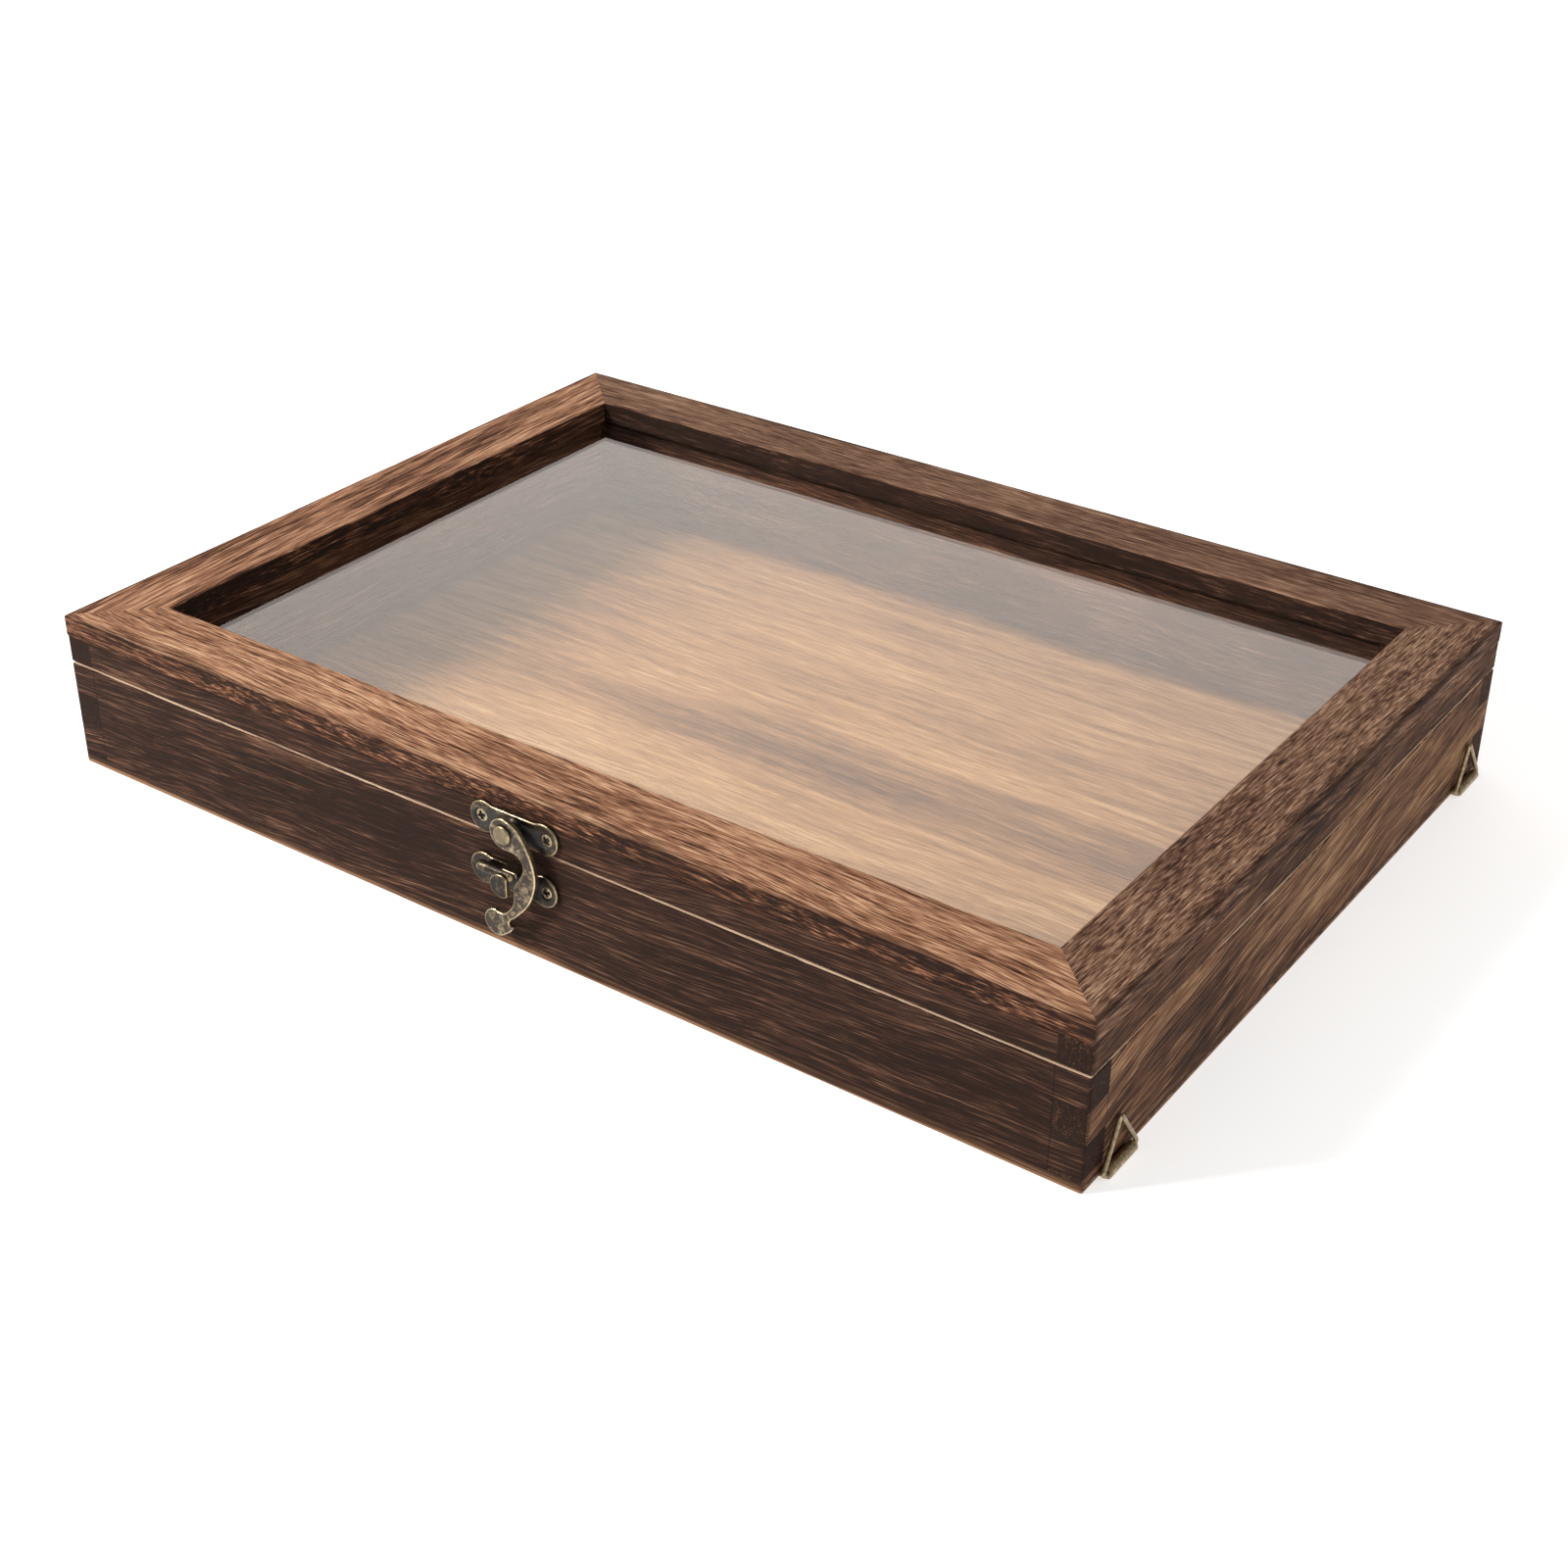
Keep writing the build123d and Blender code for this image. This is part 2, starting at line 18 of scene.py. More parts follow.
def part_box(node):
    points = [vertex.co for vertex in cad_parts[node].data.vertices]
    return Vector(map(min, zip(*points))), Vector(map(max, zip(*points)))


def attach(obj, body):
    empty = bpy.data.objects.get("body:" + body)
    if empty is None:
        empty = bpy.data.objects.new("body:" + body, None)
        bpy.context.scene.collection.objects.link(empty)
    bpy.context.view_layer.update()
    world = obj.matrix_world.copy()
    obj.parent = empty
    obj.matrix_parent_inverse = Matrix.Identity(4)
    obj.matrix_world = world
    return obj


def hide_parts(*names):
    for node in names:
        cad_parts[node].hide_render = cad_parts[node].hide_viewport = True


bl_info = {
    "name": "Display Case Finisher",
    "version": (1, 0, 0),
    "blender": (4, 5, 0),
    "location": "View3D > Sidebar > Display Case",
    "description": "Finishes a glazed wooden display case with its latch, hinges and hangers",
    "category": "Object",
}

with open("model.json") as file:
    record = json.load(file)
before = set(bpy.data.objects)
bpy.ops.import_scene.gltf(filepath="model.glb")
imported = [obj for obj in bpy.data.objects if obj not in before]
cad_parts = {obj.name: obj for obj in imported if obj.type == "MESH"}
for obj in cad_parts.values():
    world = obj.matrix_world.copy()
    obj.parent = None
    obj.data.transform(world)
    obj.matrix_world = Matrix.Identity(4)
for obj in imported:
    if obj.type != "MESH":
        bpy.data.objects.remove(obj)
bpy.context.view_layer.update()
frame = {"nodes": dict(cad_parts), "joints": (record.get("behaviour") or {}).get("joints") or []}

MM = 0.001
WALL_LOW, WALL_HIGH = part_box("base_wall_front")
WALL_FRONT = WALL_LOW.y
JOINTS = {joint["name"]: joint["pos_m"] for joint in frame["joints"]}
HOOK_PIVOT = Vector((JOINTS["hook_pivot"][0], WALL_FRONT, JOINTS["hook_pivot"][2]))
CATCH_LOW, CATCH_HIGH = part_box("catch_plate")
EAR_R = 4.9
CATCH_CENTRE = Vector(((CATCH_LOW.x + CATCH_HIGH.x) / 2, WALL_FRONT, CATCH_LOW.z + EAR_R * MM))
SAW_CUT = JOINTS["lid_hinge"][2] / MM

# half width and half depth of the case, its height, and the same inside the walls
CASE_X, CASE_Y = WALL_HIGH.x / MM, -WALL_LOW.y / MM
CASE_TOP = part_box("face_frame_front")[1].z / MM
WALL_T = (WALL_HIGH.y - WALL_LOW.y) / MM
INSIDE_X, INSIDE_Y = CASE_X - WALL_T, CASE_Y - WALL_T
FINGER_H = 10.0
PANE_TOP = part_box("glass_pane")[1].z / MM

RIGHT, UP, AWAY = Vector((1, 0, 0)), Vector((0, 0, 1)), Vector((0, 1, 0))


# ---- node sheets ---------------------------------------------------------------------------
class Value:
    """A number that changes over a surface. Arithmetic on it adds Math nodes to its finish."""

    def __init__(self, finish, socket):
        self.finish = finish
        self.socket = socket

    def maths(self, operation, *terms):
        node = self.finish.node("ShaderNodeMath", {"operation": operation}, dict(enumerate(terms)))
        return Value(self.finish, node.outputs[0])

    def __add__(self, other):
        return self.maths("ADD", self, other)

    def __sub__(self, other):
        return self.maths("SUBTRACT", self, other)

    def __rsub__(self, other):
        return self.maths("SUBTRACT", other, self)

    def __mul__(self, other):
        return self.maths("MULTIPLY", self, other)

    def __truediv__(self, other):
        return self.maths("DIVIDE", self, other)

    __radd__ = __add__
    __rmul__ = __mul__

    def size(self):
        return self.maths("ABSOLUTE", self)

    def least(self, other):
        return self.maths("MINIMUM", self, other)

    def most(self, other):
        return self.maths("MAXIMUM", self, other)

    def rise(self, low, high):
        """0 below low, 1 above high, and a smooth step between."""
        node = self.finish.node(
            "ShaderNodeMapRange",
            {"interpolation_type": "SMOOTHSTEP"},
            {"Value": self, "From Min": low, "From Max": high, "To Min": 0.0, "To Max": 1.0},
        )
        return Value(self.finish, node.outputs[0])


class Finish:
    """One material and the ways to add nodes to it."""

    def __init__(self, name):
        self.material = bpy.data.materials.new(name)
        self.material.use_nodes = True
        self.material.node_tree.nodes.clear()

    def node(self, kind, settings=None, inputs=None):
        """Add a node: its settings first, among them a ramp's stops, then its sockets."""
        tree = self.material.node_tree
        made = tree.nodes.new(kind)
        for key, value in (settings or {}).items():
            if key == "stops":
                ramp = made.color_ramp
                for place, colour in value[2:]:
                    ramp.elements.new(place)
                for element, (place, colour) in zip(ramp.elements, value):
                    element.position = place
                    element.color = (*colour, 1.0)
            else:
                setattr(made, key, value)
        for key, value in (inputs or {}).items():
            value = value.socket if isinstance(value, Value) else value
            if isinstance(value, bpy.types.NodeSocket):
                tree.links.new(value, made.inputs[key])
            else:
                made.inputs[key].default_value = value
        return made

    def place(self):
        """The piece's own coordinates in millimetres, as three values."""
        at = self.node("ShaderNodeTexCoord").outputs["Object"]
        parts = self.node("ShaderNodeSeparateXYZ", inputs={0: at}).outputs
        return [Value(self, part) * 1000.0 for part in parts]

    def facing(self):
        """How far the surface faces along each axis, as three values from 0 to 1."""
        at = self.node("ShaderNodeTexCoord").outputs["Normal"]
        parts = self.node("ShaderNodeSeparateXYZ", inputs={0: at}).outputs
        return [Value(self, part).size() for part in parts]

    def point(self, x, y, z):
        return self.node("ShaderNodeCombineXYZ", inputs={0: x, 1: y, 2: z}).outputs[0]

    def noise(self, point, detail=2.0, roughness=0.5, distortion=0.0):
        """Cloudy noise about 0, at one cell per unit of the point."""
        made = self.node(
            "ShaderNodeTexNoise",
            {"noise_dimensions": "3D"},
            {
                "Vector": point,
                "Scale": 1.0,
                "Detail": detail,
                "Roughness": roughness,
                "Distortion": distortion,
            },
        )
        return Value(self, made.outputs[0]) - 0.5

    def ramp(self, value, stops):
        return self.node("ShaderNodeValToRGB", {"stops": stops}, {0: value}).outputs[0]

    def mix(self, share, first, second):
        """Colour first where share is 0 and second where it is 1."""
        colours = {6: first, 7: second}
        ready = {k: (*v, 1.0) if isinstance(v, tuple) else v for k, v in colours.items()}
        made = self.node("ShaderNodeMix", {"data_type": "RGBA"}, {0: share, **ready})
        return made.outputs[2]

    def bump(self, height, distance, strength=1.0):
        made = self.node(
            "ShaderNodeBump", inputs={"Height": height, "Distance": distance, "Strength": strength}
        )
        return made.outputs[0]

    def surface(self, **sockets):
        """Finish with one Principled shader; underscores in names stand for spaces."""
        named = {key.replace("_", " "): value for key, value in sockets.items()}
        shader = self.node("ShaderNodeBsdfPrincipled", inputs=named)
        return self.show(shader.outputs[0])

    def show(self, shader):
        self.node("ShaderNodeOutputMaterial", inputs={"Surface": shader})
        return self.material


# ---- wood ----------------------------------------------------------------------------------
CHAR = (0.020, 0.010, 0.007)
SEAM = (0.012, 0.008, 0.007)
ARRIS_BURN = 0.6


def grain(finish, along, seed, lean, waver):
    """Grain coordinates: u along the board, v level across it and w up through it.

    The fibres lean by lean (mm across and mm up, per mm along) and wander by waver (mm across
    and up) over about 70 mm of length, so lines of equal v and w run nearly, but never quite,
    along the board. A face that the fibres leave at a slant looks short-grained and granular.
    """
    x, y, z = finish.place()
    u, v = (x, y) if along == "X" else (y, x)
    shift = seed * 17.31
    drift = finish.noise(finish.point(u / 75.0 + shift, v / 34.0, z / 34.0), 1.0)
    drift_up = finish.noise(finish.point(u / 60.0 - shift, v / 30.0, z / 30.0), 1.0)
    v = v + u * lean[0] + drift * waver[0] + shift
    w = z + u * lean[1] + drift_up * waver[1] - shift
    return u + shift * 3.0, v, w


def torched(name, along, seed, stops, lean=(0.0, 0.03), waver=(1.0, 6.0), burn=0.0, patch=0.5,
            streak=1.0, rings=0.35, end_burn=0.1, sawn=True, jointed=False, upright_shade=0.0):
    """Scorched open-grained board.

    burn darkens the whole board and end_burn its end grain; the upright faces are darkened by a
    painted shade. patch, streak and rings are the strengths of the clouds, the grain lines and the
    growth rings.
    Tone = middle + broad scorch clouds + growth rings + streaks + fine fibres, and a ramp turns
    tone into colour. Threads and veins are the light and dark lines where a long thin noise
    passes two fixed values. Outer arrises are burnt, the saw cut shows raw wood, and finger
    joints carry a thin dark seam.
    """
    finish = Finish(name)
    x, y, z = finish.place()
    facing = finish.facing()
    u, v, w = grain(finish, along, seed, lean, waver)
    cloud = finish.noise(finish.point(u / 70.0, v / 15.0, w / 15.0), 3.0, 0.55)
    wide = finish.noise(finish.point(u / 60.0, v / 2.0, w / 2.0), 3.0, 0.6)
    line = finish.noise(finish.point(u / 34.0, v / 0.55, w / 0.55), 3.0, 0.7)
    fibre = finish.noise(finish.point(u / 11.0, v / 0.3, w / 0.3), 1.5, 0.5)
    strand = finish.noise(finish.point(u / 44.0, v / 0.75, w / 0.75), 1.5, 0.5)
    thread = 1.0 - (strand - 0.02).size().rise(0.0, 0.04)
    vein = 1.0 - (strand + 0.11).size().rise(0.0, 0.05)
    pore = finish.noise(finish.point(u / 4.5, v / 0.38, w / 0.38), 1.0).rise(0.12, 0.24)
    dash = finish.noise(finish.point(u / 8.0, v / 0.42, w / 0.42 + 9.0), 2.0).rise(0.06, 0.16)
    radius = finish.point(u / 260.0, v, w + 46.0)
    ring_r = Value(finish, finish.node(
        "ShaderNodeVectorMath", {"operation": "LENGTH"}, {0: radius}).outputs["Value"])
    ring = finish.noise(finish.point(ring_r / 2.3, u / 400.0, seed * 3.1), 2.0, 0.6)
    figure = (wide * 0.55 + line * 1.4 + fibre * 1.3 + thread * 0.12 - vein * 0.14 - pore * 0.14
              + dash * 0.20 - 0.03)
    tone = 0.5 + cloud * (1.5 * patch) + ring * rings + figure * streak - burn

    end_grain = facing[0 if along == "X" else 1].rise(0.75, 0.9)
    tone = tone - end_grain * end_burn
    # painted shade: upright faces darker than the tops
    if upright_shade:
        tone = tone - (1.0 - facing[2].rise(0.3, 0.8)) * upright_shade
    colour = finish.ramp(tone, stops)

    # outer arrises: the distance to an edge is the larger distance to the two faces beside it
    from_x, from_y, from_top = CASE_X - x.size(), CASE_Y - y.size(), CASE_TOP - z
    edge = from_x.most(from_y).least(from_x.most(from_top)).least(from_y.most(from_top))
    ragged = edge + cloud * 6.0 + wide * 3.0
    scorch = (1.0 - ragged.rise(0.0, 2.2)) * ARRIS_BURN
    colour = finish.mix(scorch, colour, CHAR)
    height = line * 0.9 + fibre * 0.5 + wide * 0.4 + thread * 0.12 - vein * 0.2 - pore * 0.5
    if jointed:
        # distance to the finger ends, which are FINGER_H apart below the saw cut
        rows = (z - (SAW_CUT - FINGER_H)).size()
        for step in (2, 3):
            rows = rows.least((z - (SAW_CUT - step * FINGER_H)).size())
        past_x, past_y = x.size() - INSIDE_X, y.size() - INSIDE_Y
        in_corner = past_x.rise(-0.1, 0.1) * past_y.rise(-0.1, 0.1)
        column = past_x.size().most((CASE_Y - 1.0) - y.size())
        column = column.least(past_y.size().most((CASE_X - 1.0) - x.size()))
        seam = (1.0 - rows.rise(0.08, 0.24)) * in_corner
        seam = seam.most(1.0 - column.rise(0.08, 0.26)) * 0.6
        colour = finish.mix(seam, colour, SEAM)
        height = height - seam * 1.5
    if sawn:
        bare = 1.0 - ((z - SAW_CUT).size() + line * 0.5 + cloud * 0.6).rise(0.26, 0.4)
        bare = bare * (1.0 - from_x.least(from_y).rise(6.0, 8.0))
        raw = finish.ramp(line + 0.5, [(0.2, (0.42, 0.28, 0.18)), (0.7, (0.74, 0.58, 0.43))])
        colour = finish.mix(bare, colour, raw)
    return finish.surface(
        Base_Color=colour,
        Roughness=0.76 + line * 0.4 + fibre * 0.2,
        Specular_IOR_Level=0.08,
        Normal=finish.bump(height, 0.0003, 0.6),
    )


def shades(dark, middle, light, bright, level=1.0):
    """Ramp stops from near-black through three browns to the brightest grain."""
    browns = [tuple(c * level for c in brown) for brown in (dark, middle, light, bright)]
    return list(zip((0.08, 0.3, 0.5, 0.7, 0.95), (CHAR, *browns)))


RAIL_RED = (
    (0.10, 0.040, 0.021), (0.27, 0.125, 0.070), (0.44, 0.235, 0.135), (0.66, 0.42, 0.26))
RAIL_BROWN = (
    (0.062, 0.029, 0.018), (0.165, 0.084, 0.052), (0.27, 0.155, 0.098), (0.44, 0.29, 0.19))
WALL_DARK = (
    (0.032, 0.015, 0.010), (0.075, 0.034, 0.022), (0.135, 0.066, 0.040), (0.27, 0.15, 0.09))
WALL_WARM = (
    (0.045, 0.022, 0.014), (0.125, 0.058, 0.032), (0.23, 0.118, 0.062), (0.42, 0.26, 0.145))


def panel_wood():
    """The thin bottom panel: scorched in broad bands that run from left to right.

    Tone = grain + a pale band near the back + a smoky band that drifts back towards the right,
    both as bell shapes across the panel; painted shade darkens the panel along the foot of the
    walls, and the rim is raw below.
    """
    finish = Finish("panel_wood")
    x, y, z = finish.place()
    facing = finish.facing()
    u, v, w = grain(finish, "X", 9.0, (0.012, 0.0), (5.0, 0.0))
    cloud = finish.noise(finish.point(u / 130.0, v / 17.0, 0.5), 2.0, 0.5)
    wide = finish.noise(finish.point(u / 60.0, v / 3.4, w), 3.0, 0.6)
    line = finish.noise(finish.point(u / 24.0, v / 0.8, w), 3.0, 0.65)
    fibre = finish.noise(finish.point(u / 7.0, v / 0.3, w), 2.0, 0.6)
    warped = y + cloud * 16.0 + wide * 5.0
    pale = 1.0 - (warped - 95.0).size().rise(2.0, 24.0)
    smoky = (1.0 - (warped - 1.0 - x * 0.05).size().rise(2.0, 22.0)) * x.rise(-110.0, -10.0)
    smoky_left = (1.0 - x.rise(-150.0, -60.0)) * 0.6
    # painted shade: the panel darkens towards the foot of the inner walls
    inside = (INSIDE_X - x.size()).least(INSIDE_Y - y.size())
    wall_foot_shade = 1.0 - inside.rise(-1.0, 9.0)
    near = 1.0 - y.rise(-40.0, 10.0)
    tone = (0.62 + cloud * 0.35 + wide * 0.5 + line * 0.8 + fibre * 0.7 + near * 0.07
            + pale * 0.01 - smoky * 0.22 - smoky_left * 0.24 - wall_foot_shade * 0.3)
    under = (1.0 - z.rise(1.6, 2.3)) * 0.22
    rim = (CASE_X - x.size()).least(CASE_Y - y.size())
    bare = (1.0 - rim.rise(0.3, 1.0)) * (1.0 - (z + wide * 5.0).rise(0.3, 1.5))
    colour = finish.ramp(tone - under, [
        (0.1, (0.035, 0.016, 0.008)),
        (0.32, (0.105, 0.045, 0.018)),
        (0.55, (0.28, 0.135, 0.056)),
        (0.75, (0.43, 0.225, 0.10)),
        (0.95, (0.64, 0.41, 0.22)),
    ])
    side = (1.0 - facing[2].rise(0.4, 0.8)) * (1.0 - bare) * 0.75
    colour = finish.mix(side, colour, (0.04, 0.020, 0.013))
    colour = finish.mix(bare, colour, (0.24, 0.125, 0.066))
    return finish.surface(
        Base_Color=colour,
        Roughness=0.7 + line * 0.3 + fibre * 0.2,
        Specular_IOR_Level=0.1,
        Normal=finish.bump(line * 0.6 + fibre * 0.5 + wide * 0.4, 0.0002, 0.5),
    )


class DISPLAYCASE_OT_woodwork(bpy.types.Operator):
    """Give every wooden piece its own scorched, open-grained finish"""

    bl_idname = "display_case.woodwork"
    bl_label = "Finish woodwork"

    def execute(self, context):
        finishes = {
            # each rail's strength for its upright faces darkens them as painted shade, against the
            # tops
            "face_frame_front": torched(
                "rail_front_wood", "X", 1.0, shades(*RAIL_RED), (0.06, 0.03), (8.0, 1.0),
                patch=0.4, burn=-0.07, sawn=False, upright_shade=0.42, rings=0.25),
            # the back rail's darker brown palette is partly painted shade, for light that falls off
            # towards the back
            "face_frame_back": torched(
                "rail_back_wood", "X", 2.0, shades(*RAIL_BROWN), (0.02, 0.03), (5.0, 1.0),
                patch=0.25, sawn=False, upright_shade=0.45, streak=0.8),
            "face_frame_left": torched(
                "rail_left_wood", "Y", 3.0, shades(*RAIL_RED), (0.04, 0.0), (7.0, 1.0),
                patch=0.7, burn=0.03, sawn=False, upright_shade=0.42),
            "face_frame_right": torched(
                "rail_right_wood", "Y", 4.0, shades(*RAIL_BROWN), (-0.03, 0.07), (3.0, 1.0),
                patch=0.3, sawn=False, upright_shade=0.14, rings=0.2, burn=-0.02),
            "lid_rail_front": torched(
                "lid_front_wood", "X", 5.0, shades(*WALL_DARK, 0.82), (0.0, -0.05), (1.0, 7.0),
                burn=0.17, end_burn=0.1),
            "lid_rail_back": torched("lid_back_wood", "X", 6.0, shades(*WALL_DARK), burn=0.4),
            "lid_rail_left": torched("lid_left_wood", "Y", 7.0, shades(*WALL_DARK),
                                     end_burn=0.55),
            "lid_rail_right": torched(
                "lid_right_wood", "Y", 8.0, shades(*WALL_WARM), (0.0, -0.06), burn=0.12,
                end_burn=0.25),
            "base_wall_front": torched(
                "wall_front_wood", "X", 5.4, shades(*WALL_DARK, 0.74), (0.0, -0.05), (1.0, 7.0),
                jointed=True, patch=0.5, burn=0.2, end_burn=0.1, streak=1.1),
            "base_wall_back": torched("wall_back_wood", "X", 10.0, shades(*WALL_DARK),
                                      burn=0.1, jointed=True),
            "base_wall_left": torched("wall_left_wood", "Y", 11.0, shades(*WALL_DARK),
                                      jointed=True, end_burn=0.55),
            "base_wall_right": torched(
                "wall_right_wood", "Y", 8.3, shades(*WALL_WARM), (0.0, -0.15), (1.0, 9.0),
                jointed=True, patch=0.6, rings=0.5, end_burn=0.5),
            "bottom_panel": panel_wood(),
        }
        for node, material in finishes.items():
            dress(frame["nodes"][node], material)
        return {"FINISHED"}


def dress(obj, material):
    """Give a piece one material in place of all it has."""
    obj.data.materials.clear()
    obj.data.materials.append(material)
    obj.data.polygons.foreach_set("material_index", np.zeros(len(obj.data.polygons), np.int32))


# ---- glass ---------------------------------------------------------------------------------
class DISPLAYCASE_OT_glazing(bpy.types.Operator):
    """Lay clear glass in the lid, with a little dust, and pin it with steel points"""

    bl_idname = "display_case.glazing"
    bl_label = "Finish glazing"

    def execute(self, context):
        finish = Finish("pane_glass")
        x, y, z = finish.place()
        lamp = finish.node("ShaderNodeLightPath").outputs["Is Shadow Ray"]
        smear = finish.noise(finish.point(x / 60.0, y / 35.0, 4.0), 3.0)
        clear = finish.node("ShaderNodeBsdfPrincipled", inputs={
            "Base Color": (0.93, 0.95, 0.94, 1.0), "Roughness": 0.0, "IOR": 1.5,
            "Transmission Weight": 1.0})
        through = finish.node("ShaderNodeBsdfTransparent", inputs={"Color": (0.9, 0.92, 0.91, 1.0)})
        pane = finish.node("ShaderNodeMixShader", inputs={
            0: lamp, 1: clear.outputs[0], 2: through.outputs[0]})
        dust = finish.node("ShaderNodeBsdfPrincipled", inputs={
            "Base Color": (0.75, 0.72, 0.68, 1.0), "Roughness": 0.9})
        cell = finish.node("ShaderNodeTexVoronoi", inputs={
            "Vector": finish.point(x / 19.0, y / 13.0, 0.0), "Scale": 1.0})
        pick = finish.node("ShaderNodeSeparateColor", inputs={0: cell.outputs["Color"]})
        speck = 1.0 - Value(finish, cell.outputs["Distance"]).rise(0.012, 0.032)
        speck = speck * Value(finish, pick.outputs[0]).rise(0.62, 0.7)
        upper = (z - PANE_TOP).rise(-0.5, -0.1)
        share = (speck * 0.35 + smear.rise(0.0, 0.35) * 0.008) * upper
        mixed = finish.node("ShaderNodeMixShader", inputs={
            0: share, 1: pane.outputs[0], 2: dust.outputs[0]})
        dress(frame["nodes"]["glass_pane"], finish.show(mixed.outputs[0]))

        steel = Finish("point_steel")
        x, y, z = steel.place()
        scuff = steel.noise(steel.point(x / 1.2, y / 0.4, z / 0.4), 3.0)
        dress(frame["nodes"]["glazing_points"], steel.surface(
            Base_Color=steel.mix(scuff.rise(-0.2, 0.2), (0.42, 0.42, 0.43), (0.62, 0.62, 0.62)),
            Metallic=1.0,
            Roughness=0.4 + scuff * 0.4,
            Normal=steel.bump(scuff, 0.00005),
        ))
        return {"FINISHED"}


# ---- antique metal ---------------------------------------------------------------------------
def bronze(name, look, lift=1.0, grain_mm=1.0, patina=1.0, rub=0.0):
    """Darkened bronze, from the rubbed-edge and painted-shade value that its pieces carry.

    1 is metal rubbed bright, 0 is brown lacquer that cloudy patches rub through in places, and
    -1 is black dirt with painted shade in hollows, recesses and under rims.
    """
    finish = Finish(name)
    x, y, z = finish.place()
    at = finish.point(x / grain_mm, y / grain_mm, z / grain_mm)
    wide = 2.6 * grain_mm
    cloud = finish.noise(finish.point(x / wide, y / wide, z / wide), 3.0, 0.6)
    pit = finish.noise(at, 3.0, 0.65)
    fine = finish.noise(finish.point(x / 0.25, y / 0.25, z / 0.25), 2.0)
    wear = Value(finish, finish.node(
        "ShaderNodeAttribute", {"attribute_name": "wear"}).outputs["Fac"])
    rubbed = (wear * (0.9 + cloud * 2.0 + pit * 1.2)).most(0.0).least(1.0)
    patchy = (cloud * 1.1 + pit * 0.8).rise(-0.10, 0.32) * (look.patina * patina)
    share = rubbed.most(patchy).most(cloud * 1.2 + pit * 0.6 + rub)
    dark = tuple(c * lift for c in look.bronze_dark)
    bright = tuple(min(1.0, c * lift) for c in look.bronze_bright)
    middle = tuple(0.55 * d + 0.45 * b for d, b in zip(dark, bright))
    colour = finish.ramp(share, [(0.0, dark), (0.45, middle), (1.0, bright)])
    # dirt and painted shade: below 0 the metal turns black and unmetallic in hollows, recesses and
    # under rims
    grime_and_shade = (wear * -1.0).rise(0.05, 0.8)
    colour = finish.mix(grime_and_shade, colour, (0.008, 0.007, 0.006))
    return finish.surface(
        Base_Color=colour,
        Metallic=1.0 - grime_and_shade,
        Roughness=0.42 + pit * 0.4 + fine * 0.2 - share * 0.12 + grime_and_shade * 0.3,
        Normal=finish.bump(pit * 0.7 + fine * 0.4 + cloud * 0.5, 0.0001, 0.8),
    )


def three_point_arc(first, middle, last, steps=14):
    """Points on the circle through three points: its centre is as far from each of them."""
    a, b, c = (np.array(p, float) for p in (first, middle, last))
    rows = 2 * np.array([b - a, c - a])
    centre = np.linalg.solve(rows, np.array([b @ b - a @ a, c @ c - a @ a]))
    angles = np.arctan2(*(np.array([a, b, c]) - centre).T[::-1])
    turn = (angles - angles[0]) % (2 * np.pi)
    sweep = turn[2] if turn[1] < turn[2] else turn[2] - 2 * np.pi
    at = angles[0] + sweep * np.linspace(0, 1, steps, endpoint=False)
    return centre + np.hypot(*(a - centre)) * np.column_stack([np.cos(at), np.sin(at)])


def through(points, steps=10):
    """A smooth line through points: each span is a cubic whose slopes join the neighbours."""
    p = np.array(points, float)
    ends = np.vstack([2 * p[0] - p[1], p, 2 * p[-1] - p[-2]])
    t = np.linspace(0, 1, steps, endpoint=False)[None, :, None]
    a, b, c, d = (ends[k:len(ends) - 3 + k, None, :] for k in range(4))
    line = 0.5 * (2 * b + (c - a) * t + (2 * a - 5 * b + 4 * c - d) * t**2
                  + (3 * b - a - 3 * c + d) * t**3)
    return line.reshape(-1, 2)


def even_loop(points, count, blur):
    """A closed line cut into equal steps, its corners rounded by averaging over blur steps."""
    closed = np.vstack([points, points[:1]])
    along = np.concatenate([[0], np.cumsum(np.hypot(*np.diff(closed, axis=0).T))])
    at = np.linspace(0, along[-1], count, endpoint=False)
    loop = np.column_stack([np.interp(at, along, closed[:, k]) for k in range(2)])
    for _ in range(blur):
        loop = (np.roll(loop, 1, 0) + 2 * loop + np.roll(loop, -1, 0)) / 4
    area = np.sum(loop[:, 0] * np.roll(loop[:, 1], -1) - loop[:, 1] * np.roll(loop[:, 0], -1))
    return loop if area > 0 else loop[::-1]


def inset(loop, distance):
    """The loop moved inwards: each point goes against the outward normal of its neighbours.

    A point goes in by at most 0.7 of the radius of the largest circle that touches the loop
    there from inside: (distance to another point)^2 / (2 x how far that point lies inwards).
    """
    step = np.roll(loop, -1, 0) - np.roll(loop, 1, 0)
    inward = np.column_stack([-step[:, 1], step[:, 0]])
    inward /= np.linalg.norm(inward, axis=1)[:, None]
    gap = loop[None] - loop[:, None]
    depth = np.maximum((gap * inward[:, None]).sum(-1), 1e-9)
    room = ((gap**2).sum(-1) / (2 * depth) + 1e9 * np.eye(len(loop))).min(1)
    for _ in range(3):
        room = np.minimum(room, np.minimum(np.roll(room, 1), np.roll(room, -1)))
    travel = np.minimum(distance, 0.7 * room)
    for _ in range(4):
        travel = (np.roll(travel, 1) + 2 * travel + np.roll(travel, -1)) / 4
    return loop + travel[:, None] * inward


